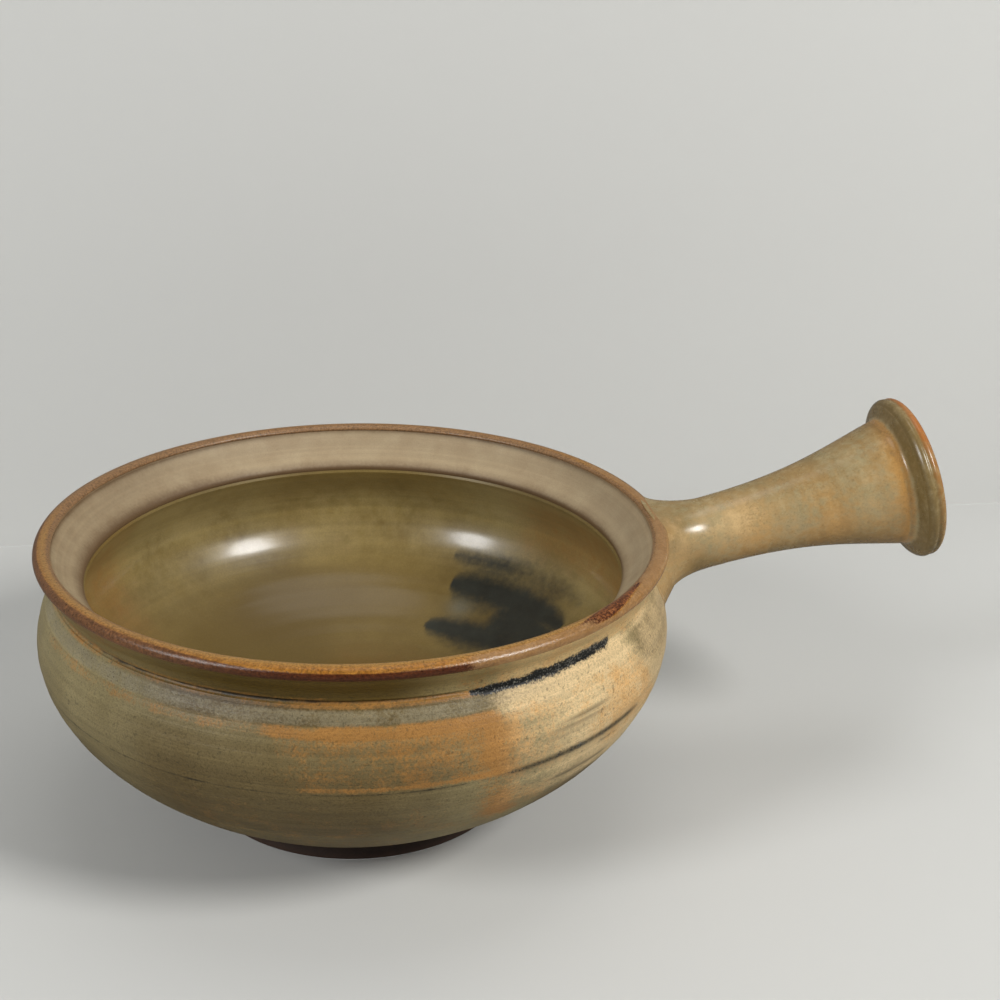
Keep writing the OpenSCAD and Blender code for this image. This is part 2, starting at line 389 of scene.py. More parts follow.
class Wires:
    """A node tree that is being wired. Most methods add a node and return its output."""

    def __init__(self, tree: Tree) -> None:
        """Starts on a tree."""
        self.tree = tree

    def node(self, kind: str, **settings: object) -> Node:
        """Adds a node with its settings and returns it.

        Args:
            kind: The node's type.
            settings: Its settings by name.

        Returns:
            The node.
        """
        made = self.tree.nodes.new(kind)
        for name, value in settings.items():
            setattr(made, name, value)
        return made

    def feed(self, socket: Socket, value: object) -> None:
        """Links an output to a socket, or sets the socket to a number or colour."""
        if isinstance(value, Socket):
            self.tree.links.new(value, socket)
        else:
            socket.default_value = value

    def fed(self, made: Node, values: tuple = (), **named: object) -> Socket:
        """Feeds a node's inputs, in order or by name.

        Args:
            made: The node.
            values: What its first inputs take.
            named: What inputs take by name, with _ for a blank.

        Returns:
            The node's first output.
        """
        for socket, value in zip(made.inputs, values):
            self.feed(socket, value)
        for name, value in named.items():
            self.feed(made.inputs[name.replace("_", " ")], value)
        return made.outputs[0]

    def math(self, operation: str, *values: object, clamp: bool = False) -> Socket:
        """Does arithmetic on numbers or outputs."""
        return self.fed(self.node("ShaderNodeMath", operation=operation, use_clamp=clamp), values)

    def times(self, first: object, second: object, plus: object = 0.0, clamp: bool = False) -> Socket:
        """Multiplies two numbers or outputs and adds a third."""
        return self.math("MULTIPLY_ADD", first, second, plus, clamp=clamp)

    def vector(self, operation: str, *values: object) -> Node:
        """Does arithmetic on vectors and returns the node.

        Args:
            operation: What it does.
            values: The vectors or outputs.

        Returns:
            The node, whose first output is a vector and whose Value is a number.
        """
        made = self.node("ShaderNodeVectorMath", operation=operation)
        self.fed(made, values)
        return made

    def mix(self, share: object, first: object, second: object, blend: str = "MIX") -> Socket:
        """Mixes two colours by a share.

        Args:
            share: How much of the second colour shows.
            first, second: The colours.
            blend: How the second is laid on the first.

        Returns:
            The mixed colour.
        """
        made = self.node("ShaderNodeMix", data_type="RGBA", blend_type=blend)
        for place, value in zip(("Factor", 6, 7), (share, first, second)):
            self.feed(made.inputs[place], value)
        return made.outputs[2]

    def blend(self, share: object, first: Socket, second: Socket) -> Socket:
        """Mixes two shaders by a share."""
        return self.fed(self.node("ShaderNodeMixShader"), (share, first, second))

    def noise(self, place: object, scale: object, detail: float = 2.0, rough: float = 0.5) -> Socket:
        """Makes soft noise about 0.5 at a scale in features a metre."""
        made = self.node("ShaderNodeTexNoise")
        return self.fed(made, Vector=place, Scale=scale, Detail=detail, Roughness=rough)

    def span(
        self, value: object, low: object, high: object, least: object = 0.0, most: object = 1.0
    ) -> Socket:
        """Maps a value from low..high to least..most, smoothly and clamped."""
        made = self.node("ShaderNodeMapRange", interpolation_type="SMOOTHSTEP")
        return self.fed(made, (value, low, high, least, most))

    def field(self, name: str, output: str = "Fac") -> Socket:
        """Reads an attribute of the mesh."""
        made = self.node("ShaderNodeAttribute", attribute_type="GEOMETRY", attribute_name=name)
        return made.outputs[output]

    def place(self) -> Socket:
        """Reads the Object coordinates."""
        return self.node("ShaderNodeTexCoord").outputs["Object"]

    def end(self, kind: str, shader: Socket) -> None:
        """Ends the tree at an output."""
        self.feed(self.node(kind).inputs["Surface"], shader)


def group_of(
    name: str, inputs: dict[str, float | None], *outputs: str
) -> tuple[Wires, list[Socket], bpy.types.bpy_prop_collection]:
    """Starts a node group.

    Args:
        name: The group's name.
        inputs: Each input's name and usual value: a number, or None for a vector.
        outputs: The names of its outputs, each a number.

    Returns:
        The group's wires, what comes in and the sockets that go out.
    """
    tree = bpy.data.node_groups.new(name, "ShaderNodeTree")
    for label, usual in inputs.items():
        kind = "NodeSocketVector" if usual is None else "NodeSocketFloat"
        socket = tree.interface.new_socket(label, in_out="INPUT", socket_type=kind)
        if usual is not None:
            socket.default_value = usual
    for label in outputs:
        tree.interface.new_socket(label, in_out="OUTPUT", socket_type="NodeSocketFloat")
    wires = Wires(tree)
    given = list(wires.node("NodeGroupInput").outputs)[: len(inputs)]
    return wires, given, wires.node("NodeGroupOutput").inputs


@dataclass(frozen=True)
class Effects:
    """The effects that several finishes share, as node groups."""

    speckle: Tree
    lines: Tree
    mottle: Tree
    ragged: Tree

    @staticmethod
    def speckle_group() -> Tree:
        """Makes fine dark grains of iron, in drifts.

        Returns:
            A group whose Mask is a fine noise, raised by a third of a coarse one, past Least.
        """
        usual = {"Place": None, "Grain": 2600.0, "Least": 0.58, "Soft": 0.08}
        wires, (place, grain, least, soft), out = group_of("iron speckle", usual, "Mask")
        fine = wires.noise(place, grain, 1.0)
        drift = wires.noise(place, wires.times(grain, 0.09))
        total = wires.times(wires.math("SUBTRACT", drift, 0.5), 0.35, fine)
        wires.feed(out["Mask"], wires.span(total, least, wires.math("ADD", least, soft)))
        return wires.tree

    @staticmethod
    def lines_group() -> Tree:
        """Makes the rings that fingers leave in turning clay.

        Returns:
            A group whose Rings is noise that changes along the outline and hardly round it.
            Its Hair is the same, but finer.
        """
        usual = {"Turned": None, "Rings a metre": 700.0, "Waver": 9.0}
        wires, (turned, rings, waver), out = group_of("throwing lines", usual, "Rings", "Hair")
        squeeze = wires.fed(wires.node("ShaderNodeCombineXYZ"), (waver, waver, rings))
        run = wires.vector("MULTIPLY", turned, squeeze).outputs[0]
        wires.feed(out["Rings"], wires.noise(run, 1.0, 2.0, 0.55))
        close = wires.vector("MULTIPLY", run, (2.0, 2.0, 3.6)).outputs[0]
        wires.feed(out["Hair"], wires.noise(close, 1.0, 1.0))
        return wires.tree

    @staticmethod
    def mottle_group() -> Tree:
        """Makes cloudy patches in a glaze.

        Returns:
            A group whose Mask is noise of a size, spread by Contrast about its middle.
        """
        usual = {"Place": None, "Scale": 150.0, "Contrast": 2.0}
        wires, (place, scale, contrast), out = group_of("glaze mottle", usual, "Mask")
        cloud = wires.math("SUBTRACT", wires.noise(place, scale, 4.0, 0.6), 0.5)
        wires.feed(out["Mask"], wires.times(cloud, contrast, 0.5, clamp=True))
        return wires.tree

    @staticmethod
    def ragged_group() -> Tree:
        """Gives a smooth amount an edge that the glaze has broken up.

        Returns:
            A group whose Mask is where Amount and its noise together pass 0.5. The noise has
            two grains, and Spread says how far they reach.
        """
        usual = {"Amount": 0.0, "Place": None, "Grain": 1800.0, "Spread": 0.8, "Soft": 0.12}
        wires, (amount, place, grain, spread, soft), out = group_of("ragged edge", usual, "Mask")
        fine = wires.noise(place, grain, 2.0, 0.6)
        wide = wires.noise(place, wires.times(grain, 0.13), 3.0, 0.55)
        both = wires.times(wires.math("ADD", fine, wide), 1.3, -1.3)
        low, high = (wires.math(way, 0.5, soft) for way in ("SUBTRACT", "ADD"))
        wires.feed(out["Mask"], wires.span(wires.times(both, spread, amount), low, high))
        return wires.tree

    @classmethod
    def build(cls) -> "Effects":
        """Builds each group once."""
        return cls(cls.speckle_group(), cls.lines_group(), cls.mottle_group(), cls.ragged_group())


class Paint(Wires):
    """The wires of one finish, with its colour so far and the shared effects at hand."""

    def __init__(self, name: str, effects: Effects) -> None:
        """Starts a material of that name.

        Args:
            name: The material's name.
            effects: The shared effects.
        """
        self.material = bpy.data.materials.new(name)
        super().__init__(blank(self.material))
        self.effects = effects
        self.at = self.place()
        self.colour: Socket | None = None

    def effect(self, tree: Tree, *values: object) -> Node:
        """Places a node group with its inputs in order.

        Args:
            tree: The node group.
            values: What its inputs take.

        Returns:
            The node that holds the group.
        """
        made = self.node("ShaderNodeGroup", node_tree=tree)
        self.fed(made, values)
        return made

    def cloud(self, scale: float, contrast: float) -> Socket:
        """Reads cloudy patches."""
        return self.effect(self.effects.mottle, self.at, scale, contrast).outputs[0]

    def specks(self, grain: float, least: float, soft: float) -> Socket:
        """Reads fine grains."""
        return self.effect(self.effects.speckle, self.at, grain, least, soft).outputs[0]

    def broken(self, name: str, grain: float, spread: float, soft: float) -> Socket:
        """Reads a field and breaks up its edge."""
        return self.effect(self.effects.ragged, self.field(name), self.at, grain, spread, soft).outputs[0]

    def rings(self, closeness: float, waver: float) -> tuple[Socket, Socket]:
        """Reads the rings of the turning and their finer lines."""
        made = self.effect(self.effects.lines, self.field("turned", "Vector"), closeness, waver)
        return made.outputs["Rings"], made.outputs["Hair"]

    def lay(self, share: object, colour: object, blend: str = "MIX") -> None:
        """Mixes a colour into the colour so far."""
        self.colour = self.mix(share, self.colour, colour, blend)

    def shade(self, value: Socket, reach: float, least: float, most: float, share: object = 1.0) -> None:
        """Multiplies the colour by least..most, as a value goes from reach below 0.5 to reach above."""
        self.lay(share, self.span(value, 0.5 - reach, 0.5 + reach, least, most), "MULTIPLY")

    def stipple(
        self, scale: float, rough: float, reach: float, least: float, most: float, share: object = 1.0
    ) -> Socket:
        """Shades the colour so far with fine noise and returns the noise.

        Args:
            scale, rough: The noise's features a metre and how rough it is.
            reach, least, most, share: As for shade.

        Returns:
            The noise.
        """
        made = self.noise(self.at, scale, 3.0, rough)
        self.shade(made, reach, least, most, share)
        return made


@dataclass(frozen=True)
class Finish:
    """What every finish has: a name, a gloss and the depth of its relief."""

    name: str
    rough: float
    rough_spread: float
    relief: float
    specular: float = 0.5
    coat: float = 0.0
    coat_rough: float = 0.14

    def end(self, paint: Paint, height: Socket, shine: Socket) -> Material:
        """Puts the colour so far, relief and gloss into the shader.

        Args:
            paint: The finish's wires.
            height: The relief's output, from 0 to 1.
            shine: The output that varies the roughness, about 0.5.

        Returns:
            The material.
        """
        spread = paint.times(paint.math("SUBTRACT", shine, 0.5), self.rough_spread)
        bump = paint.fed(paint.node("ShaderNodeBump"), Distance=self.relief, Strength=1.0, Height=height)
        shader = paint.fed(
            paint.node("ShaderNodeBsdfPrincipled"),
            Base_Color=paint.colour,
            Roughness=paint.math("ADD", spread, self.rough, clamp=True),
            Specular_IOR_Level=self.specular,
            Coat_Weight=self.coat,
            Coat_Roughness=self.coat_rough,
            Normal=bump,
        )
        paint.end("ShaderNodeOutputMaterial", shader)
        return paint.material


@dataclass(frozen=True, kw_only=True)
class WallGlaze(Finish):
    """The coat on shoulder, belly and collar: sage and olive, with flushes and strokes."""

    sage: Colour
    sage_pale: Colour
    olive: Colour
    cream: Colour
    frost: Colour
    flush: Colour
    flush_pale: Colour
    speck: Colour
    ink: Colour
    ink_pale: Colour

    def material(self, effects: Effects) -> Material:
        """Makes the glaze from the fields shade, frost, cream, flush, line, haze and ink.

        Args:
            effects: The shared effects.

        Returns:
            The material.
        """
        paint = Paint(self.name, effects)
        cloud = paint.cloud(110.0, 2.2)
        shade = paint.field("shade")
        paint.colour = paint.mix(cloud, self.sage, self.sage_pale)
        # Painted shade: the field shade mixes olive into the glaze
        paint.lay(shade, self.olive)
        frost = paint.broken("frost", 1900.0, 0.78, 0.32)
        paint.lay(frost, self.frost)
        cream = paint.broken("cream", 1900.0, 0.46, 0.32)
        paint.lay(cream, self.cream)
        flush = paint.times(paint.broken("flush", 1900.0, 0.78, 0.32), 0.92)
        paint.lay(flush, paint.mix(cream, self.flush, self.flush_pale))
        # A second coat of the same painted shade, over the flushes and the cream
        paint.lay(paint.times(shade, 0.42), self.olive)
        rings, hair = paint.rings(900.0, 10.0)
        paint.shade(paint.times(hair, 0.5, paint.times(rings, 0.5)), 0.2, 0.87, 1.10)
        stipple = paint.stipple(2300.0, 0.75, 0.23, 0.66, 1.34)
        share = paint.times(frost, 0.32, paint.times(cream, -0.30, 0.55))
        paint.lay(paint.times(paint.specks(2300.0, 0.50, 0.34), share), self.speck)
        paint.lay(paint.times(paint.specks(1250.0, 0.69, 0.06), 0.45), self.speck)
        paint.lay(paint.times(paint.broken("line", 900.0, 0.55, 0.3), 0.80), self.ink)
        paint.lay(paint.times(paint.field("haze"), stipple), self.speck)
        glints = paint.times(paint.specks(2900.0, 0.54, 0.14), 0.8)
        paint.lay(paint.broken("ink", 2600.0, 0.6, 0.16), paint.mix(glints, self.ink, self.ink_pale))
        return self.end(paint, paint.times(rings, 0.7, paint.times(stipple, 0.5)), cloud)


@dataclass(frozen=True, kw_only=True)
class LipWash(Finish):
    """The iron wash on the lip: ochre on top, red-brown at its outer edge, tan at the handle."""

    ochre: Colour
    ochre_pale: Colour
    crest: Colour
    rust: Colour
    rust_pale: Colour
    brown: Colour
    tan: Colour
    tan_pale: Colour

    def material(self, effects: Effects) -> Material:
        """Makes the wash from the fields crest, rust, pale, inner and tan.

        Args:
            effects: The shared effects.

        Returns:
            The material.
        """
        paint = Paint(self.name, effects)
        cloud = paint.cloud(420.0, 2.6)
        paint.colour = paint.mix(cloud, self.ochre, self.ochre_pale)
        paint.lay(paint.field("crest"), self.crest)
        spots = paint.times(paint.specks(2300.0, 0.42, 0.26), paint.field("pale"))
        paint.lay(paint.broken("rust", 2300.0, 0.5, 0.3), paint.mix(spots, self.rust, self.rust_pale))
        paint.lay(paint.field("inner"), self.brown)
        paint.lay(paint.broken("tan", 2300.0, 0.5, 0.3), paint.mix(cloud, self.tan, self.tan_pale))
        tan = paint.field("tan")
        stipple = paint.stipple(2100.0, 0.75, 0.17, 0.60, 1.36, paint.times(tan, -0.65, 1.0, clamp=True))
        shine = paint.math("SUBTRACT", stipple, paint.times(tan, 0.6))
        return self.end(paint, paint.times(cloud, 0.2, paint.times(stipple, 0.8)), shine)


@dataclass(frozen=True, kw_only=True)
class Lining(Finish):
    """The glossy lining: olive-brown, paler in one place, with a soft mark of blue-black."""

    olive: Colour
    olive_dark: Colour
    sage: Colour
    amber: Colour
    frost: Colour
    ink: Colour
    ink_pale: Colour

    def material(self, effects: Effects) -> Material:
        """Makes the lining from the fields amber, sage, shade, ink and pale.

        Args:
            effects: The shared effects.

        Returns:
            The material.
        """
        paint = Paint(self.name, effects)
        cloud = paint.cloud(70.0, 2.2)
        paint.colour = paint.mix(cloud, self.olive, self.olive_dark)
        paint.lay(paint.broken("sage", 420.0, 0.42, 0.5), self.sage)
        paint.lay(paint.broken("amber", 420.0, 0.42, 0.5), self.amber)
        rings = paint.rings(420.0, 8.0)[0]
        paint.shade(rings, 0.2, 0.91, 1.07)
        # Painted shade: darker on the bowl's floor and under the throat
        paint.lay(paint.field("shade"), self.olive_dark)
        ink = paint.times(paint.broken("ink", 620.0, 0.34, 0.42), 0.94)
        paint.lay(ink, paint.mix(paint.cloud(200.0, 1.6), self.ink, self.ink_pale))
        # A painted highlight: a small pale bluish spot in the mark
        paint.lay(paint.field("pale"), self.frost)
        stipple = paint.stipple(2600.0, 0.7, 0.25, 0.90, 1.10)
        return self.end(paint, paint.times(rings, 0.8, paint.times(stipple, 0.1)), cloud)


@dataclass(frozen=True, kw_only=True)
class HandleGlaze(Finish):
    """The coat on handle and fillet: tan and sage patches, orange where it breaks over edges."""

    tan: Colour
    sage: Colour
    orange: Colour
    green: Colour
    pale: Colour
    rust: Colour
    speck: Colour

    def material(self, effects: Effects) -> Material:
        """Makes the glaze from the fields orange, green, pale and rust.

        Args:
            effects: The shared effects.

        Returns:
            The material.
        """
        paint = Paint(self.name, effects)
        cloud = paint.cloud(260.0, 2.2)
        paint.colour = paint.mix(cloud, self.tan, self.sage)
        paint.lay(paint.times(paint.broken("orange", 640.0, 0.72, 0.48), 0.85), self.orange)
        # green also carries painted shade under the stem and in the fillet's hollow
        paint.lay(paint.broken("green", 640.0, 0.72, 0.48), self.green)
        # pale carries a painted sheen beside the root's highlight, over patches of cream glaze
        paint.lay(paint.broken("pale", 640.0, 0.72, 0.48), self.pale)
        paint.lay(paint.broken("rust", 640.0, 0.35, 0.48), self.rust)
        rings = paint.rings(420.0, 40.0)[0]
        paint.shade(rings, 0.2, 0.94, 1.06)
        stipple = paint.stipple(2600.0, 0.7, 0.25, 0.92, 1.08)
        paint.lay(paint.times(paint.specks(2100.0, 0.53, 0.3), 0.3), self.speck)
        return self.end(paint, paint.times(rings, 0.6, paint.times(stipple, 0.2)), cloud)


@dataclass(frozen=True, kw_only=True)
class BareClay(Finish):
    """Fired clay without glaze: dry, sandy and lined by the turning."""

    clay: Colour
    clay_dark: Colour
    stain_and_shade: Colour

    def material(self, effects: Effects) -> Material:
        """Makes the clay from the field stain.

        Args:
            effects: The shared effects.

        Returns:
            The material.
        """
        paint = Paint(self.name, effects)
        cloud = paint.cloud(160.0, 2.0)
        paint.colour = paint.mix(cloud, self.clay, self.clay_dark)
        rings = paint.rings(800.0, 8.0)[0]
        paint.shade(rings, 0.2, 0.92, 1.06)
        # Stains, and painted shade where the band turns under the throat
        paint.lay(paint.broken("stain_and_shade", 1500.0, 0.22, 0.42), self.stain_and_shade)
        paint.lay(paint.times(paint.specks(2300.0, 0.60, 0.24), 0.16), self.stain_and_shade)
        stipple = paint.stipple(3000.0, 0.75, 0.25, 0.93, 1.07)
        return self.end(paint, paint.times(rings, 0.4, paint.times(stipple, 0.6)), cloud)


# The bowl


@dataclass
class Bowl:
    """The thrown pot with its foot and its coats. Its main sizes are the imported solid's."""

    lip_r: float = 65 * MM
    height: float = 60 * MM
    belly_r: float = 65.75 * MM
    belly_z: float = 39.4 * MM
    wall: float = 5 * MM
    floor: float = 6.4 * MM
    lip_w: float = 3.7 * MM
    lip_h: float = 2.9 * MM
    lip_angles: Pair = (-40, 165)
    groove_r: float = 61.75 * MM
    groove_z: float = 51.9 * MM
    groove_cut: float = 0.6 * MM
    groove_w: float = 1.1 * MM
    throat_r: float = 55.2 * MM
    throat_z: float = 51.2 * MM
    throat_round: float = 1.8 * MM
    throat_angles: Pair = (143, 205)
    foot_r: float = 34.1 * MM
    foot_h: float = 4.4 * MM
    recess: float = 3 * MM
    ring_w: float = 5.5 * MM
    foot_round: float = 0.8 * MM
    foot_lap: float = 0.6 * MM
    foot_seat: float = 1.8 * MM
    floor_edge: float = 1.4 * MM
    underside_r: float = 30 * MM
    bare: float = 0.06
    glaze: float = 0.5 * MM
    wall_swell: float = 0.9 * MM
    lip_swell: float = 0.7 * MM
    lining_swell: float = 0.8 * MM
    wall_rings: float = 0.11 * MM
    wall_waves: tuple[float, ...] = (2.3 * MM, 3.9 * MM, 7.1 * MM)
    wall_ease: float = 3 * MM
    lining_rings: float = 0.05 * MM
    lining_waves: tuple[float, ...] = (4.3 * MM, 6.7 * MM)
    lining_ease: float = 6 * MM
    columns: int = 448

    def __post_init__(self) -> None:
        """Works out the stretches of the outline, from the foot up, over the lip and in."""
        self.lip_z = self.height - self.lip_h / 2
        self.floor_z = self.recess + self.floor
        foot = np.array([self.foot_r - self.foot_round / 2, self.foot_h])
        belly = np.array([self.belly_r, self.belly_z])
        groove = np.array([self.groove_r, self.groove_z])
        low, high = groove - [0, self.groove_w / 2], groove + [0, self.groove_w / 2]
        cut = groove - [self.groove_cut, 0]
        self.lip_middle = np.array([self.lip_r - self.lip_w / 2, self.lip_z])
        half = np.array([self.lip_w, self.lip_h]) / 2
        lip_start, lip_end = (self.lip_middle + half * heading(angle) for angle in self.lip_angles)
        ridge = np.array([self.throat_r + self.throat_round, self.throat_z])
        ridge_start, ridge_end = (ridge + self.throat_round * heading(angle) for angle in self.throat_angles)
        inner = belly - [self.wall, 0]
        foot_pull = 0.55 * (self.belly_r - self.foot_r) * heading(25)
        belly_pull = np.array([0, 0.40 * (self.belly_z - self.foot_h)])
        poles = (foot, foot + foot_pull, belly - belly_pull, belly)
        self.wall_bare = curve(*poles, count=6, stop=self.bare)
        wall_low = curve(*poles, count=92, start=self.bare)
        pull = 0.31 * (self.groove_z - self.belly_z)
        shoulder = curve(belly, belly + [0, pull], low + pull * heading(-57.5), low, count=34)
        ringed = rippled(join(wall_low, shoulder), self.wall_rings, self.wall_waves, self.wall_ease)
        self.wall_line = join(ringed, self.rounded(low, cut))
        pull = 0.33 * (self.lip_z - self.groove_z)
        side = curve(high, high + [0, pull], lip_start - pull * heading(60), lip_start, count=22)
        self.collar_line = join(self.rounded(high, cut)[::-1], side)
        self.lip_line = roll(self.lip_middle, half, self.lip_angles, 44)
        pull = 0.30 * (self.lip_z - self.throat_z)
        poles = (lip_end, lip_end + pull * heading(255), ridge_start - pull * heading(233), ridge_start)
        self.band_line = join(curve(*poles, count=24), roll(ridge, self.throat_round, self.throat_angles, 12))
        pull = 0.35 * (self.throat_z - self.belly_z)
        upper = curve(ridge_end, ridge_end + pull * heading(295), inner + [0, pull], inner, count=30)
        inner_pull = np.array([0, 0.48 * (self.belly_z - self.floor_z)])
        near, bottom = np.array([0.52 * inner[0], self.floor_z]), np.array([0, self.floor_z])
        lower = curve(inner, inner - inner_pull, near, bottom, count=84)
        self.lining_line = rippled(join(upper, lower), self.lining_rings, self.lining_waves, self.lining_ease)

    @staticmethod
    def rounded(start: Array, end: Array) -> Array:
        """Gives the side of the groove as a curve that ends level, so that its bottom is round."""
        level = np.array([end[0], start[1]])
        return curve(start, (start + level) / 2, (end + level) / 2, end, count=GROOVE_POINTS)

    def paint_wall(self, a: Array, z: Array, line: Array) -> Fields:
        """Paints the coat on the wall.

        Args:
            a, z: Where each point is, in degrees round the bowl and millimetres up.
            line: The outline that was turned, which is not used.

        Returns:
            The amounts of shade, frost, cream, flush, line, haze and ink at each point. Each is a
            sum of plateaus and humps round and up the bowl. Shade is painted shade; some of the
            cream is a painted sheen and some of the flush painted bounce light.
        """
        # front marks where the wall takes painted shade, and lit where the low belly takes painted bounce
        # light from the floor instead
        front, lit = plateau(a, -131, -77, 22), plateau(a, -132, -58, 20)
        lean = -38 + 0.72 * (47 - z)
        gold = plateau(a, -72, lean, 9)
        right = step(a, np.maximum(-36, lean - 2), 10) * (1 - step(a, 24, 12))
        cream = gold * plateau(z, 25, 51.4, 7) * (0.46 + 0.16 * step(z, 34, 10) + 0.24 * hump(a, -47, 13))
        cream *= 1 - 0.24 * (1 - step(a, -61, 10)) * (1 - step(z, 45.5, 2))
        cream += patches(
            a, z,
            # The cream band below the groove is partly the glaze's own cream and partly a painted sheen
            (0.34 * gold * (0.6 + 0.4 * step(a, -62, 12)), ALL, (47.6, 51.6, 1.4)),
            ((0.92 - 0.24 * step(z, 41, 3)) * right, ALL, (29, 53, 10)),
            (0.18, (-46, -31, 7), (28, 42, 5)),
            (0.26, (-46, -28, 6), (50.2, 53.4, 0.8)),
            (0.36, (108, 158, 30), (26, 50, 10)),
        )
        rim = (48.1, 50.7, 0.9)
        frost = patches(a, z, (0.62, (-172, -73, 8), rim), (0.496, (20, 160, 20), rim))
        under_groove, band, mottle = (50.8, 52.0, 0.5), (46.2, 48.2, 1.1), (36.4, 47, 1.6)
        golden = 0.44 * gold * (0.6 + 0.4 * plateau(a, -74, -60, 10)) * (0.45 + 0.55 * step(z, 34, 6))
        flush = patches(
            a, z,
            (0.42 - 0.4 * gold, ALL, under_groove),
            (0.24, (-106, -73, 12), under_groove),
            (0.40, (-165, -114, 8), band),
            (0.72, (-110.5, -72, 3), band),
            (0.10, (-72, -47, 6), band),
            (0.40 + 0.20 * heading(5 * a + 40)[0], (30, 166, 16), band),
            (0.38 + 0.018 * (z - 41), (-106, -72, 12), mottle),
            (0.12, (-88, -70, 8), mottle),
            (0.40, (40, 96, 20), (34, 47, 4)),
            (0.36 * hump(a, -73 + 0.25 * np.clip(36 - z, 0, 20), 3.4), ALL, (21, 48, 7)),
            (0.48, (-106, -71, 10), (35.9, 37.0, 0.7)),
            (0.34, (-50, lean + 1, 8), (32, 47.6, 4)),
            (golden, ALL, (22, 47.4, 4)),
            # Painted bounce light: a warm flush low on the belly, where light comes up off the floor
            (0.22 * lit, ALL, (-99, 31, 8)),
        )
        half = 0.97 - 0.18 * hump(a, -77, 7) + 0.22 * step(a, -50, 6)
        taper = 0.12 - 0.07 * step(a, -58, 10)
        slope = 35.8 + 0.012 * (a + 55)
        marks = (
            (1 - 0.05 * step(a, -49, 8)) * stroke(a, z, 51.48 + 0.014 * (a + 76), (-76, -44.2), half, taper),
            (0.45 + 0.06 * hump(a, -53, 9)) * stroke(a, z, slope, (-72, -38), 1.1, 0.3),
            0.46 * stroke(a, z, 33.9, (-56, -38), 0.5, 0.5),
            0.46 * stroke(a, z, 29.4, (-60, -46), 0.9, 0.5),
        )
        hazes = (
            (1.3, 42.4 + 0.02 * (a + 55), 0.45, (-59, -49, 7)),
            (1.1, 41.1, 0.4, (-62, -50, 9)),
            (0.6, 39.9, 0.5, (-64, -52, 9)),
            (1.8, slope, 0.78, (-70, -39, 7)),
            (1.2, 29.4, 0.6, (-60, -46, 5)),
            (0.35 * gold, 37.6, 0.6, ALL),
            (0.4 * gold, 34.2, 0.7, ALL),
        )
        haze = sum(amount * hump(z, at, width) * plateau(a, *across) for amount, at, width, across in hazes)
        dashes = (0.70 + 0.30 * heading(47 * a)[0] * heading(31 * a)[0]) * plateau(a, -163, -97, 8)
        groove = hump(z, 52.0, 0.42) * (1.2 * dashes + 0.45 * plateau(a, 20, 168, 10))
        groove += 0.55 * hump(z, 35.5, 0.28) * plateau(np.abs(a), 72, 200, 20)
        # Painted shade: darker across the front, towards the foot and round the back, less where lit; on the
        # right it tones the cream down
        shade = front * (0.42 + 0.22 * step(z, 22, 6) - 0.14 * step(z, 40, 6) - 0.17 * step(z, 45, 3))
        shade += (1 - lit) * (0.18 * (1 - step(z, 33, 14)) + 0.26 * (1 - step(z, 22, 16)))
        shade += right * (0.54 + 0.32 * step(z, 41, 3) - 0.22 * step(z, 48.6, 2) - 0.44 * step(z, 50.7, 1))
        shade += 0.22 * plateau(np.abs(a), 146, 300, 26) * (1 - step(z, 43, 10))
        shade += patches(
            a, z,
            (0.16, (-146, -122, 14), (-99, 45, 5)),
            (0.44, (-128, -62, 14), (48, 51, 1)),
            (0.14, (-130, -102, 10), (48, 51, 1)),
            (0.34, (-140, -77, 14), (50.8, 52.2, 0.6)),
            (0.22, (-58, -46, 9), (-99, 33, 8)),
            (0.10, (-48, -30, 8), (-99, 33, 8)),
            (-0.20, (-90, -74, 8), (-99, 36, 3)),
        )
        flush, groove, shade = (np.clip(amount, 0, 1) for amount in (flush, groove, shade))
        painted = {"cream": cream, "frost": frost, "flush": flush, "haze": haze, "line": groove}
        return {**painted, "shade": shade, "ink": np.maximum.reduce(marks)}

    def paint_collar(self, a: Array, z: Array, line: Array) -> Fields:
        """Paints the coat on the collar, as paint_wall does: dark olive in front, tan to the right.

        In front the olive is partly the glaze's own and partly painted shade under the lip.

        Args:
            a, z, line: As for paint_wall.

        Returns:
            The amounts of the same fields as paint_wall gives, with no frost and no haze.
        """
        flush = 0.58 * (1 - step(z, 52.9, 0.8)) * (1 - plateau(a, -98, -20, 10))
        flush += 0.38 * plateau(a, -78, -30, 8) + 0.40 * plateau(np.abs(a), 132, 220, 22) * step(z, 53.6, 2)
        return {
            **self.paint_wall(a, z, line),
            "cream": 0.60 * plateau(a, -73, 20, 14) + 0.18 * plateau(a, -66, -34, 8),
            "frost": 0 * a,
            "flush": flush,
            "haze": 0 * a,
            # Painted shade under the lip in front, over the glaze's own darker olive
            "shade": 0.98 - 0.78 * plateau(a, -84, 20, 14) - 0.42 * plateau(np.abs(a), 124, 220, 26),
        }

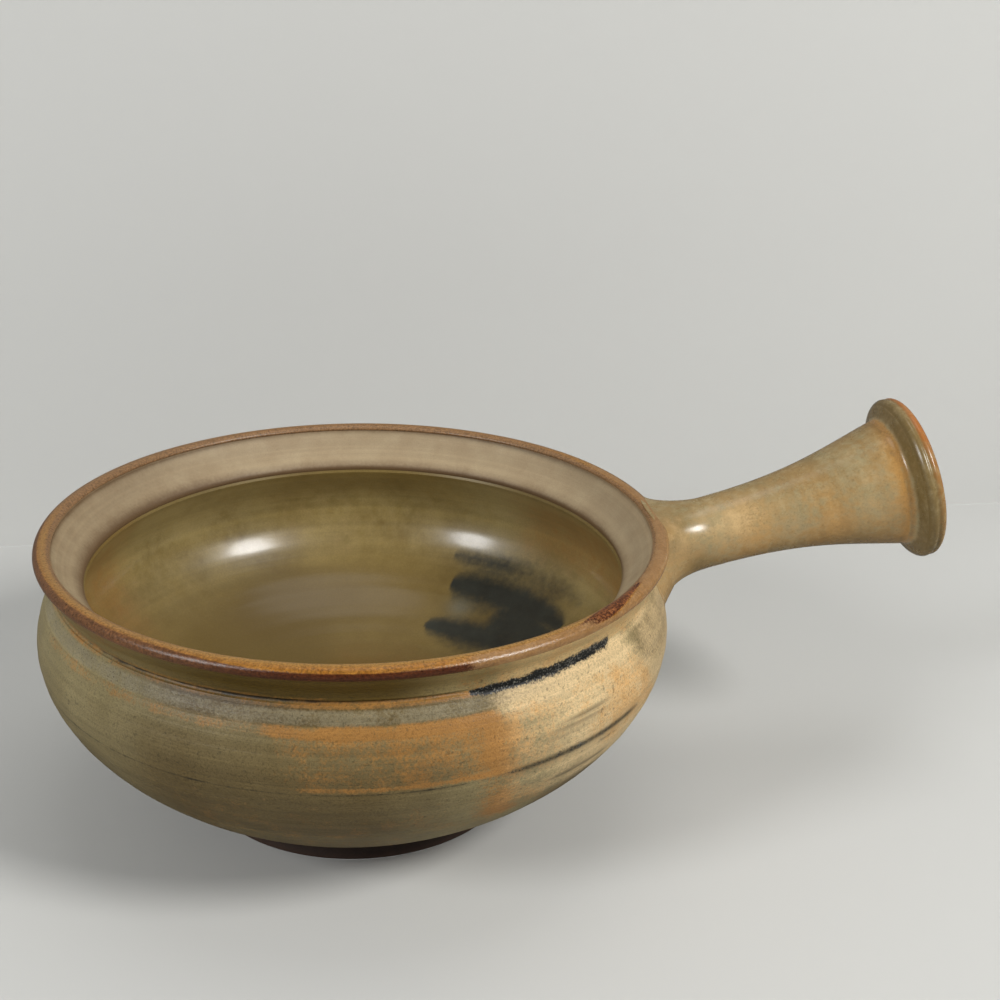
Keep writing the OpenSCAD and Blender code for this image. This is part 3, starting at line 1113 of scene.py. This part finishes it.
    def paint_lip(self, a: Array, z: Array, line: Array) -> Fields:
        """Paints the band round the lip.

        Args:
            a, z: Where each point is, in degrees round the bowl and millimetres up.
            line: The outline that was turned, which gives the angle round the lip's roll.

        Returns:
            The amounts of rust, inner, crest, tan and pale at each point.
        """
        place = (line - self.lip_middle) / [self.lip_w, self.lip_h]
        angle = np.degrees(np.arctan2(place[:, 1], place[:, 0]))[:, None]
        speckled = step(a, -55, 18) * (1 - step(a, -31, 6))
        bound = 27 + 34 * plateau(np.abs(a), 116, 300, 26) + 30 * plateau(a, 25, 128, 24) + 97 * speckled
        by_handle, far = plateau(a, -35, 27, 7), plateau(a, 34, 168, 30)
        lower = 27 + 58 * step(a, -43, 14)
        tan = 0.80 * plateau(a, -77, -52, 10) * (1 - step(angle, 78, 60))
        tan += by_handle * (1 - step(angle, 122, 14))
        inner = 0.9 * step(angle, 118, 30) + 0.72 * far + 0.34 * plateau(np.abs(a), 118, 300, 30)
        return {
            "rust": (1 - step(angle, bound, 26)) * (1 - speckled * (1 - step(angle, lower, 24))),
            "inner": np.clip(inner, 0, 1),
            "crest": 0.75 * hump(angle, 98, 26) * (1 - 0.8 * far),
            "tan": tan + 0.75 * speckled * (1 - step(angle, lower - 4, 24)) * (1 - by_handle),
            "pale": 0.10 + 0.60 * speckled + 0.25 * plateau(a, -170, -118, 18),
        }

    def paint_lining(self, a: Array, z: Array, line: Array) -> Fields:
        """Paints the lining, with its blurred brush strokes.

        Args:
            a, z: Where each point is, in degrees round the bowl and millimetres up.
            line: The outline that was turned, which is not used.

        Returns:
            The amounts of ink, pale, sage, amber and shade at each point. Shade is painted shade,
            low in the bowl and under the throat, and pale a small painted highlight in the mark.
        """
        ink = (
            1.10 * stroke(a, z, 24.4, (19, 59), 2.5 + 0.7 * hump(a, 51, 8), 0.3),
            1.05 * stroke(a, z, 18.2 - 0.02 * (a - 40), (12, 62), 1.7, 0.4),
            (0.44 + 0.34 * hump(a, 51, 11)) * stroke(a, z, 29.4, (18, 61), 2.6, 0.4),
            patches(a, z, (0.90, (12, 43, 9), (17.4, 23.4, 1.8))),
            patches(a, z, (0.42 + 0.16 * hump(a, 49, 11), (24, 57, 10), (25.0, 30.6, 2))),
        )
        sage = patches(
            a, z,
            (0.10 + 0.13 * step(z, 29, 5), (66, 99, 12), (13, 47, 8)),
            (0.34, (104, 166, 18), ALL),
            (0.42 * step(z, 29, 6), (2, 62, 18), ALL),
            (0.20 * step(z, 39, 12), ALL, ALL),
        )
        amber = patches(
            a, z,
            (0.50, (2, 44, 18), (33, 50, 8)),
            (0.45, (146, 176, 16), ALL),
            (0.70, ALL, (-99, 14, 6)),
        )
        # Painted shade: darker low in the bowl, where less light falls, and in a band under the throat
        shade = (0.72 + 0.22 * plateau(a, 98, 150, 20)) * (1 - step(z, 27, 16)) + 0.66 * step(z, 49.2, 3)
        shade += patches(a, z, (0.22, (66, 122, 14), (18, 27, 6)))
        return {
            "ink": np.clip(np.maximum.reduce(ink), 0, 1),
            # A painted highlight in the mark
            "pale": 0.55 * hump(a, 53.5, 4) * hump(z, 20.9, 1.3),
            "sage": sage,
            "amber": amber,
            "shade": np.clip(shade, 0, 1),
        }

    def paint_clay(self, edge: Array, a: Array, z: Array, line: Array) -> Fields:
        """Paints the bare clay.

        Args:
            edge: How far down the band inside the lip each point of the outline lies, from 0 to 1.
            a, z: Where each point is, in degrees round the bowl and millimetres up.
            line: The outline that was turned.

        Returns:
            How dark each point is: painted shade where the band turns under the throat, a thin
            dark line by the lip, and darker on the band's left and on the underside.
        """
        # Painted shade where the band turns under the throat; a thin dark line by the lip
        stain_and_shade = 0.80 * hump(edge, 1.0, 0.14) + 0.5 * hump(edge, 0.02, 0.05) + 0.66 * step(edge, 0.60, 0.42)
        stain_and_shade = stain_and_shade + 0.30 * plateau(apart(a, 158), -36, 50, 40) * (z > 50) * (edge > 0)
        outer = step((line[:, :1] / self.underside_r) ** 2, 1, 1 / 9)
        return {"stain_and_shade": stain_and_shade + 0.85 * (z < 8) * outer}

    @staticmethod
    def paint_foot(a: Array, z: Array, line: Array) -> Fields:
        """Paints the foot ring as paint_clay does: darker on its side."""
        return {"stain_and_shade": 0.35 + 0.3 * plateau(z, 0.8, 5, 1.0)}

    def fill_groove(self, rings: Array, a: Array) -> Array:
        """Lets the glaze run level over the groove beside the handle, where a stroke crosses it.

        Args:
            rings: The coat's points.
            a: Their azimuths.

        Returns:
            The points, with those in the groove moved out to its lip by the share of a plateau.
        """
        radius = np.hypot(rings[..., 0], rings[..., 1])
        near = np.abs(rings[..., 2] - self.groove_z) < 0.51 * self.groove_w
        skin = radius > self.groove_r - self.groove_cut - 0.1 * self.glaze
        target = np.where(near & skin, self.groove_r, radius)
        scale = 1 + plateau(a, -76, -12, 6) * (target / np.maximum(radius, TINY) - 1)
        return rings * np.stack([scale, scale, np.ones_like(scale)], axis=-1)

    def clay_outline(self) -> tuple[Array, Array]:
        """Gives the outline of the pot's clay.

        Returns:
            The outline from the axis below to the axis above, and for each of its points how far
            down the band inside the lip it lies, from 0 to 1.
        """
        below = np.array([[0, self.recess], [self.wall_bare[0, 0] - self.floor_edge, self.recess]])
        outside = (join(self.wall_bare, self.wall_line), self.collar_line, self.lip_line)
        before = [below] + [inset(line[::2], self.glaze) for line in outside]
        band, inside = inset(self.band_line, self.glaze), inset(self.lining_line[::2], self.glaze)
        line = np.vstack([*before, band, inside[:-1], [[0, self.floor_z - self.glaze]]])
        edge = np.zeros((len(line), 1))
        first = sum(len(stretch) for stretch in before)
        edge[first : first + len(band), 0] = np.linspace(0, 1, len(band))
        return line, edge

    def foot_outline(self) -> Array:
        """Gives the closed outline of the foot ring."""
        inner_r, soft, top = self.foot_r - self.ring_w, self.foot_round, self.recess + self.foot_lap
        return np.vstack(
            [
                [[self.foot_r - self.foot_seat, top], [inner_r, top]],
                np.linspace([inner_r, self.recess], [inner_r, soft], 4)[:-1],
                roll(np.array([inner_r + soft, soft]), soft, (180, 270), 8),
                roll(np.array([self.foot_r - soft, soft]), soft, (270, 360), 8),
                np.linspace([self.foot_r, soft], self.wall_bare[0], 5)[1:],
            ]
        )

    def lay(
        self,
        name: str,
        line: Array,
        paint: Callable[[Array, Array, Array], Fields],
        slot: Slot,
        material: Material,
        node: str,
        filled: bool = False,
        closed: bool = True,
    ) -> None:
        """Turns an outline, paints it and builds the piece.

        Args:
            name: The piece's name.
            line: Its outline.
            paint: Gives its fields from azimuth, height and outline.
            slot, material, node, closed: As for build_piece.
            filled: Whether the coat fills the groove beside the handle.
        """
        rings = turn(line, self.columns)
        a = np.broadcast_to(apart(places(self.columns), 0), rings.shape[:2])
        fields = {"turned": turned_field(self.lip_r, lengths(line)[:, None], self.columns)}
        fields |= paint(a, rings[..., 2] / MM, line)
        rings = self.fill_groove(rings, a) if filled else rings
        build_piece(name, rings, fields, slot, material, node, closed)

    def build(self, effects: Effects) -> None:
        """Builds and dresses every piece of the bowl.

        Args:
            effects: The shared effects.
        """
        wall = coat(self.wall_line, self.glaze, (self.wall_swell, 0))
        collar = coat(self.collar_line, self.glaze)
        lip = coat(self.lip_line, self.glaze, (0, self.lip_swell))
        lining = coat(self.lining_line, self.glaze, (self.lining_swell, 0), on_axis=True)
        clay, edge = self.clay_outline()
        on_clay = partial(self.paint_clay, edge)
        for name, line, paint, slot, finish, node, *shape in (
            ("wall_glaze", wall, self.paint_wall, Slot.SAGE_GLAZE, WALL_GLAZE, "glaze_outside", True),
            ("collar_glaze", collar, self.paint_collar, Slot.OLIVE_GLAZE, COLLAR_GLAZE, "glaze_collar", True),
            ("lip_wash", lip, self.paint_lip, Slot.RUST_GLAZE, LIP_WASH, "lip_band"),
            ("lining_glaze", lining, self.paint_lining, Slot.BROWN_GLAZE, LINING, "glaze_inside"),
            ("thrown_clay", clay, on_clay, Slot.BARE_CLAY, BARE_CLAY, "bowl_body", False, False),
            ("foot_clay", self.foot_outline(), self.paint_foot, Slot.FOOT_CLAY, FOOT_CLAY, "foot_ring"),
        ):
            self.lay(name, line, paint, slot, finish.material(effects), node, *shape)


# The handle


@dataclass
class Handle:
    """The hollow trumpet handle with its ridge, its rolled flange and the coil at its root."""

    bowl: Bowl
    reach: float = 57.1 * MM
    tilt: float = 13.8
    drop: float = 8.55 * MM
    neck_r: float = 7.65 * MM
    neck_at: float = 10.5 * MM
    wall: float = 3.2 * MM
    ridge_r: float = 13.8 * MM
    ridge_back: float = 4.6 * MM
    flange_r: float = 17.95 * MM
    flange_t: float = 4.6 * MM
    flange_dip: float = 0.35 * MM
    flange_angles: Pair = (-60, 155)
    coil_top: float = 11.4 * MM
    coil_low: float = 13 * MM
    coil_z: float = 50.7 * MM
    foot_up: float = 11.6 * MM
    foot_down: float = 13.0 * MM
    foot_side: float = 15.5 * MM
    foot_square: float = 2.35
    overlap: float = 0.7 * MM
    root_at: float = 8 * MM
    tube_at: float = 1.5 * MM
    under_at: float = 3.5 * MM
    sink: float = 0.8 * MM
    lift: float = 0.02 * MM
    mouth_swell: float = 0.8 * MM
    field_r: float = 12 * MM
    field_l: float = 10 * MM
    columns: int = 288

    def __post_init__(self) -> None:
        """Works out the handle's axes and outlines."""
        self.origin = np.array([self.bowl.lip_r, 0, self.bowl.height - self.drop])
        level, rise = heading(self.tilt)
        self.axis = np.array([level, 0, rise])
        self.down = np.array([rise, 0, -level])
        self.side = np.array([0.0, 1.0, 0.0])
        neck = np.array([self.neck_r, self.neck_at])
        ridge = np.array([self.ridge_r, self.reach - self.ridge_back])
        half = self.flange_t / 2
        middle = np.array([self.flange_r - half, self.reach])
        start, end = (middle + half * heading(angle) for angle in self.flange_angles)
        bore = neck - [self.wall, 0]
        stem_l = ridge[1] - self.neck_at
        stem = curve(neck, neck + [0, 0.50 * stem_l], ridge - 0.32 * stem_l * heading(76), ridge, count=84)
        pull = 0.45 * float(np.linalg.norm(start - ridge))
        cove = curve(ridge, ridge + [0, pull], start - pull * heading(30), start, count=22)
        angle = np.linspace(*self.flange_angles, 56)
        flange = roll(middle, half, self.flange_angles, len(angle))
        flange -= self.flange_dip * hump(angle, 4, 13)[:, None] * heading(angle).T
        root = np.linspace([self.neck_r, self.root_at], stem[0], 6)
        pull = 0.35 * (self.reach - self.neck_at)
        poles = (end, end + pull * heading(245), bore + [0, pull], bore)
        stretches = (root, stem, cove, flange)
        self.outer_line = join(*stretches, curve(*poles, count=12, stop=0.16))
        self.marks = np.cumsum([len(stretch) - 1 for stretch in stretches])
        bore_end = np.linspace(bore, [bore[0], self.tube_at], 8)
        self.bore_line = join(curve(*poles, count=60, start=0.10), bore_end)

    def turned(self, line: Array) -> tuple[Array, Array]:
        """Turns an outline on the handle's own axis and gives its points and their field `turned`."""
        rings = turn(line, self.columns) @ np.stack([self.down, self.side, self.axis])
        return self.origin + rings, turned_field(self.field_r, lengths(line)[:, None], self.columns)

    @staticmethod
    def paint_stem(angle: Array, reach: Array) -> Fields:
        """Paints the coat on neck and stem.

        Args:
            angle: Degrees round the handle, from its underside.
            reach: Millimetres along it.

        Returns:
            The amounts of orange, green, pale and rust: more orange below, green along the top
            and as painted shade along the underside, and pale beside the root's highlight, partly
            cream glaze and partly a painted sheen.
        """
        below, side = heading(angle)
        under = (1 + below) / 2
        return {
            "orange": 0.27 + 0.32 * under + 0.10 * np.cos(0.4 * reach + 2 * side),
            # green along the underside is painted shade
            "green": 0.42 * (1 - under) ** 3 + 0.78 * under**3.4 + 0 * reach,
            # pale is partly cream glaze and partly a painted sheen beside the root's highlight
            "pale": 0.55 * hump(apart(angle, 238), 0, 32) * hump(reach, 15, 8),
            "rust": 0 * under + 0 * reach,
        }

    def build(self, effects: Effects) -> None:
        """Builds and dresses the handle's glaze, its clay and the fillet at its root.

        Args:
            effects: The shared effects.
        """
        glaze = HANDLE_GLAZE.material(effects)
        self.build_coat(glaze)
        self.build_clay(effects)
        self.build_fillet(glaze)

    def build_coat(self, glaze: Material) -> None:
        """Builds the glaze: orange on ridge and flange, dark in the cove and rust on the flange's top.

        Args:
            glaze: The handle's finish.
        """
        line = coat(self.outer_line, self.bowl.glaze, (0, self.mouth_swell))
        rings, turned = self.turned(line)
        ridge, cove_end, flange_end = self.marks[1:]
        row = np.zeros((len(line), 1))
        row[: len(self.outer_line), 0] = np.arange(len(self.outer_line))
        angle = places(self.columns)
        over = (1 - heading(angle)[0]) / 2
        first, last = self.flange_angles
        round_by = first + (last - first) * np.clip((row - cove_end) / (flange_end - cove_end), 0, None)
        stem = self.paint_stem(angle, line[:, 1:] / MM)
        fields = {name: amount * (row < ridge) for name, amount in stem.items()}
        fields["orange"] += (0.62 + 0.30 * over) * hump(row, ridge + 2, 5.0) + 0.58 * (round_by > 20)
        fields["green"] += 0.85 * plateau(row, ridge + 8, cove_end + 2, 8)
        fields["green"] += (0.80 - 0.34 * step(round_by, 30, 30)) * (round_by > first)
        fields["rust"] = (0.14 + 0.52 * over**2.2) * step(round_by, 6, 24) * (row <= flange_end)
        fields["rust"] += 0.14 * hump(row, ridge + 1, 4.0)
        fields["turned"] = turned
        build_piece("handle_coat", rings, fields, Slot.OCHRE_GLAZE, glaze, "glaze_handle")

    def build_clay(self, effects: Effects) -> None:
        """Builds the clay tube, whose bore shows in the open flange.

        Args:
            effects: The shared effects.
        """
        outside = inset(self.outer_line, self.bowl.glaze)[::2]
        line = np.vstack([[[self.neck_r - self.bowl.glaze, self.tube_at]], outside, self.bore_line])
        rings, turned = self.turned(line)
        fields = {"turned": turned, "stain_and_shade": np.full(rings.shape[:2], 0.25)}
        build_piece("handle_clay", rings, fields, Slot.BARE_CLAY, BORE_CLAY.material(effects), "handle")

    def on_wall(self, up: Array, round_by: Array) -> Array:
        """Gives points on the bowl's outside.

        Args:
            up: The distance along the outline from where the handle's axis meets the wall.
            round_by: The distance round the bowl from the handle's line.

        Returns:
            The points. The groove is passed over straight, as the coil fills it.
        """
        bowl = self.bowl
        below = bowl.wall_line[:-GROOVE_POINTS]
        line = np.vstack([below, bowl.collar_line[GROOVE_POINTS:], bowl.lip_line[1:]])
        along = lengths(line)
        last = len(below) - 1
        start = np.interp(self.coil_z, line[:last, 1], along[:last])
        radius, height = (np.interp(start + up, along, values) for values in line.T)
        angle = round_by / bowl.groove_r
        return np.stack([radius * np.cos(angle), radius * np.sin(angle), height], axis=-1)

    def build_fillet(self, glaze: Material) -> None:
        """Builds the fillet of clay and glaze that runs from the wall into the neck.

        At each angle round the handle the surface is a cubic curve. It leaves the bowl's
        outside along that surface, towards the handle's axis, and reaches the neck along it.
        Its foot on the wall is a rounded square: up and across are the cosine and the sine of
        the angle, each to the power of two over foot_square.

        Args:
            glaze: The handle's finish.
        """
        degrees = places(self.columns)
        below, across = heading(degrees)
        rise = -below
        power = 2 / self.foot_square
        up = np.where(rise > 0, self.foot_up, self.foot_down) * np.sign(rise) * np.abs(rise) ** power
        side = self.foot_side * np.sign(across) * np.abs(across) ** power
        foot = self.on_wall(up, side)
        inward = self.on_wall(0.94 * up, 0.94 * side) - foot
        inward /= np.linalg.norm(inward, axis=1)[:, None]
        around = below[:, None] * self.down + across[:, None] * self.side
        top = (1 + rise) / 2
        end = self.coil_low + (self.coil_top - self.coil_low) * top
        stem = self.outer_line[: self.marks[1] + 1]
        radius = np.interp(end, stem[:, 1], stem[:, 0])
        slope = (np.interp(end + MM, stem[:, 1], stem[:, 0]) - radius) / MM
        run = self.axis + slope[:, None] * around
        run /= np.linalg.norm(run, axis=1)[:, None]
        centre = self.origin + end[:, None] * self.axis
        neck = centre + (radius + self.lift)[:, None] * around
        span = np.linalg.norm(neck - foot, axis=1)
        leave = ((0.44 - 0.28 * top) * span)[:, None]
        arrive = ((0.33 - 0.07 * top) * span)[:, None]
        skin = curve(foot, foot + leave * inward, neck - arrive * run, neck, count=52)
        under_end = centre + (radius - self.overlap)[:, None] * around
        under_root = self.origin + self.under_at * self.axis + (self.neck_r - self.overlap) * around
        azimuth = side / self.bowl.groove_r
        out = np.stack([np.cos(azimuth), np.sin(azimuth), 0 * side], axis=-1)
        rings = np.concatenate([skin, [under_end, under_root, foot - self.sink * out]])
        share = np.concatenate([np.linspace(0, 1, len(skin)), [1, 0.5, 0]])[:, None] + 0 * degrees
        along = np.interp(end, stem[:, 1], lengths(self.outer_line)[: len(stem)]) - (1 - share) * self.field_l
        fields = self.paint_stem(degrees, end / MM - (1 - share) * 6)
        # At 292 degrees pale is painted light where the fillet's flare faces the lamp, and green painted
        # shade in the hollow below it
        for name, amount, at, width, low, spread in (
            ("orange", 0.42, 232, 26, 0.12, 0.16),
            ("green", 0.42, 230, 30, 0.5, 0.2),
            ("green", 0.40, 292, 22, 0.68, 0.16),
            ("pale", 0.50, 292, 26, 0.22, 0.2),
        ):
            fields[name] += amount * hump(apart(degrees, at), 0, width) * hump(share, low, spread)
        fields["turned"] = turned_field(self.field_r, along, self.columns)
        build_piece("root_fillet", rings, fields, Slot.JOINT_GLAZE, glaze, "luting_coil", crease=60)


WALL_GLAZE = WallGlaze(
    name="wall glaze",
    rough=0.42,
    rough_spread=0.12,
    relief=0.12 * MM,
    specular=0.34,
    sage=tone(134, 121, 84),
    sage_pale=tone(152, 139, 100),
    # olive is also the colour of the painted shade
    olive=tone(82, 62, 24),
    cream=tone(214, 188, 142),
    frost=tone(144, 134, 106),
    flush=tone(168, 118, 58),
    flush_pale=tone(204, 160, 102),
    speck=tone(66, 58, 38),
    ink=tone(18, 19, 18),
    ink_pale=tone(118, 116, 108),
)

COLLAR_GLAZE = replace(
    WALL_GLAZE,
    name="collar glaze",
    rough=0.34,
    rough_spread=0.10,
    relief=0.08 * MM,
    specular=0.36,
    sage=tone(146, 130, 86),
    sage_pale=tone(158, 140, 96),
    # olive is also the colour of the painted shade
    olive=tone(84, 65, 18),
    cream=tone(196, 168, 118),
    frost=tone(134, 125, 95),
    flush=tone(154, 104, 44),
    flush_pale=tone(188, 142, 86),
    speck=tone(52, 42, 20),
)

LIP_WASH = LipWash(
    name="lip wash",
    rough=0.30,
    rough_spread=0.16,
    relief=0.08 * MM,
    specular=0.42,
    ochre=tone(134, 84, 20),
    ochre_pale=tone(154, 106, 42),
    crest=tone(158, 122, 68),
    rust=tone(70, 32, 11),
    rust_pale=tone(150, 92, 48),
    brown=tone(133, 101, 69),
    tan=tone(138, 101, 60),
    tan_pale=tone(152, 117, 78),
)

LINING = Lining(
    name="lining glaze",
    rough=0.36,
    rough_spread=0.06,
    relief=0.07 * MM,
    specular=0.4,
    coat=0.42,
    coat_rough=0.17,
    olive=tone(154, 134, 82),
    # olive_dark is also the colour of the painted shade
    olive_dark=tone(104, 84, 38),
    sage=tone(160, 145, 100),
    amber=tone(134, 90, 36),
    # frost here is the colour of the painted highlight in the mark
    frost=tone(112, 112, 98),
    ink=tone(22, 25, 23),
    ink_pale=tone(44, 49, 44),
)

HANDLE_GLAZE = HandleGlaze(
    name="handle glaze",
    rough=0.26,
    rough_spread=0.10,
    relief=0.05 * MM,
    tan=tone(169, 145, 104),
    sage=tone(143, 132, 98),
    orange=tone(184, 136, 72),
    # green is also the colour of the painted shade on the handle
    green=tone(116, 96, 57),
    # pale is also the colour of the painted sheen by the root
    pale=tone(196, 168, 122),
    rust=tone(168, 96, 38),
    speck=tone(96, 80, 52),
)


def clay_of(name: str, rough: float, spread: float, relief: float, *tones: tuple[int, int, int]) -> BareClay:
    """Makes a finish of bare clay from its name, gloss, relief and three screen colours."""
    clay, clay_dark, stain_and_shade = (tone(*screen) for screen in tones)
    return BareClay(name, rough, spread, relief, clay=clay, clay_dark=clay_dark, stain_and_shade=stain_and_shade)


# The third colour darkens stains and painted shade
BARE_CLAY = clay_of("bare clay", 0.62, 0.12, 0.08 * MM, (168, 149, 117), (152, 131, 100), (102, 78, 50))
BORE_CLAY = clay_of("bore clay", 0.70, 0.12, 0.10 * MM, (158, 136, 100), (136, 112, 78), (92, 68, 42))
FOOT_CLAY = clay_of("foot clay", 0.72, 0.10, 0.10 * MM, (84, 60, 44), (68, 48, 36), (44, 32, 26))


# The studio


@dataclass
class Lamp:
    """A soft box that shines on the bowl from a direction."""

    name: str
    azimuth: float
    elevation: float
    distance: float
    size: float
    watts: float
    colour: tuple[float, float, float] = (1.0, 1.0, 1.0)

    def build(self, target: Array) -> None:
        """Hangs the lamp at its distance from the target and turns it there.

        Args:
            target: The place that the lamp shines on.
        """
        data = bpy.data.lights.new(self.name, "AREA")
        data.shape = "DISK"
        data.size = self.size
        data.energy = self.watts
        data.color = self.colour
        lamp = linked(self.name, data)
        level, side = heading(self.elevation), heading(self.azimuth)
        away = np.array([level[0] * side[0], level[0] * side[1], level[1]])
        lamp.location = Vector(target + self.distance * away)
        lamp.rotation_euler = Vector(away).to_track_quat("Z", "Y").to_euler()


@dataclass
class Studio:
    """A plain pale floor, soft light and the camera at the photograph's angle."""

    camera_place: tuple[float, float, float] = (-20.83 * MM, -289.28 * MM, 180.89 * MM)
    right: tuple[float, float, float] = (0.9858, -0.1665, 0.0229)
    up: tuple[float, float, float] = (0.0408, 0.3692, 0.9285)
    forward: tuple[float, float, float] = (0.1630, 0.9143, -0.3707)
    lens: float = 54.0
    sensor: float = 36.0
    shift: float = -0.0025
    floor_half: float = 1.6
    fold_at: float = 0.136
    fold_r: float = 0.0002
    wall_top: float = 0.7
    wall_lean: float = 4.0
    fade_from: float = 0.5
    fade_to: float = 1.1
    hole_r: float = 33.6 * MM
    floor_tone: Colour = tone(196, 196, 193)
    floor_rough: float = 0.9
    floor_gloss: float = 0.15
    gloss_tone: Colour = tone(118, 116, 112)
    room_tone: Colour = tone(224, 226, 228)
    room_strength: float = 0.20
    gloss_strength: float = 0.07
    target_z: float = 0.04
    lamps: tuple[Lamp, ...] = (
        Lamp("key lamp", -40, 38, 0.95, 0.28, 7.0, (1.0, 0.99, 0.97)),
        Lamp("side lamp", -150, 30, 0.95, 0.28, 4.6, (0.98, 0.99, 1.0)),
        Lamp("top lamp", 60, 78, 1.2, 0.8, 2.6),
    )

    def build_camera(self) -> None:
        """Places the camera and makes it the scene's."""
        data = bpy.data.cameras.new("camera")
        data.lens = self.lens
        data.sensor_width = self.sensor
        data.shift_x = self.shift
        data.clip_start = 0.01
        camera = linked("camera", data)
        axes = Matrix((self.right, self.up, tuple(-part for part in self.forward))).transposed()
        aim = axes.to_quaternion().to_matrix().to_4x4()
        camera.matrix_world = Matrix.Translation(Vector(self.camera_place)) @ aim
        bpy.context.scene.camera = camera

    def build_floor(self) -> None:
        """Lays the floor, which folds up into a wall behind the bowl.

        The fold is a quarter of a round. The camera sees through the sheet from behind and
        below, so that it hides the bowl in no view, and far from the bowl it sees the room's
        tone. A round hole under the bowl, hidden by the foot, lets light to its underside.
        """
        lean = heading(90 - self.wall_lean)
        fold = roll(np.array([self.fold_at, self.fold_r]), self.fold_r, (-90, -self.wall_lean), 24)
        line = np.vstack([[-self.floor_half, 0], fold, fold[-1] + (self.wall_top / lean[1]) * lean])
        across = np.array([[-self.floor_half], [self.floor_half]])
        points = np.stack(np.broadcast_arrays(across, line[:, 0], line[:, 1]), axis=-1)
        first = np.arange(len(line) - 1)
        faces = np.column_stack([first, first + len(line), first + len(line) + 1, first + 1])
        mesh = bpy.data.meshes.new("floor")
        mesh.from_pydata(points.reshape(-1, 3).tolist(), [], faces.tolist())
        mesh.polygons.foreach_set("use_smooth", np.ones(len(faces), bool))
        mesh.materials.append(self.floor_material())
        linked("floor", mesh)

    def floor_material(self) -> Material:
        """Makes the floor's material.

        Returns:
            A matt tone that gloss sees darker, that fades into the room's tone far away, and that
            is clear in the hole and, for the camera, from behind.
        """
        material = bpy.data.materials.new("floor")
        wires = Wires(blank(material))
        sheet = wires.node("ShaderNodeBsdfPrincipled")
        matt = wires.fed(
            sheet, Base_Color=self.floor_tone, Roughness=self.floor_rough, Specular_IOR_Level=self.floor_gloss
        )
        dim = wires.fed(wires.node("ShaderNodeBsdfDiffuse"), Color=self.gloss_tone)
        plain = wires.fed(wires.node("ShaderNodeEmission"), Color=self.floor_tone)
        clear = wires.node("ShaderNodeBsdfTransparent").outputs[0]
        rays = wires.node("ShaderNodeLightPath").outputs
        behind = wires.times(wires.node("ShaderNodeNewGeometry").outputs["Backfacing"], rays["Is Camera Ray"])
        far = wires.vector("LENGTH", wires.place()).outputs["Value"]
        fade = wires.times(wires.span(far, self.fade_from, self.fade_to), rays["Is Camera Ray"])
        hole = wires.math("LESS_THAN", far, self.hole_r)
        seen = wires.blend(fade, wires.blend(rays["Is Glossy Ray"], matt, dim), plain)
        wires.end("ShaderNodeOutputMaterial", wires.blend(wires.math("MAXIMUM", behind, hole), seen, clear))
        return material

    def build_room(self) -> None:
        """Fills the room with even light. The camera sees a pale wall and the gloss a dark room."""
        world = bpy.data.worlds.new("room")
        wires = Wires(blank(world))
        rays = wires.node("ShaderNodeLightPath").outputs
        room, gloss, wall = (
            wires.fed(wires.node("ShaderNodeBackground"), Color=colour, Strength=strength)
            for colour, strength in (
                (self.room_tone, self.room_strength),
                (self.room_tone, self.gloss_strength),
                (self.floor_tone, 1.0),
            )
        )
        seen = wires.blend(rays["Is Glossy Ray"], room, gloss)
        wires.end("ShaderNodeOutputWorld", wires.blend(rays["Is Camera Ray"], seen, wall))
        bpy.context.scene.world = world

    def build(self) -> None:
        """Builds the camera, floor, room and lamps."""
        bpy.context.scene.view_settings.view_transform = "Standard"
        self.build_camera()
        self.build_floor()
        self.build_room()
        for lamp in self.lamps:
            lamp.build(np.array([0, 0, self.target_z]))
        LOG.info("studio: %d lamps", len(self.lamps))


def main() -> None:
    """Builds the studio, the bowl and the handle."""
    logging.basicConfig(level=logging.INFO)
    Studio().build()
    effects = Effects.build()
    bowl = Bowl()
    bowl.build(effects)
    Handle(bowl).build(effects)


if __name__ == "__main__":
    main()
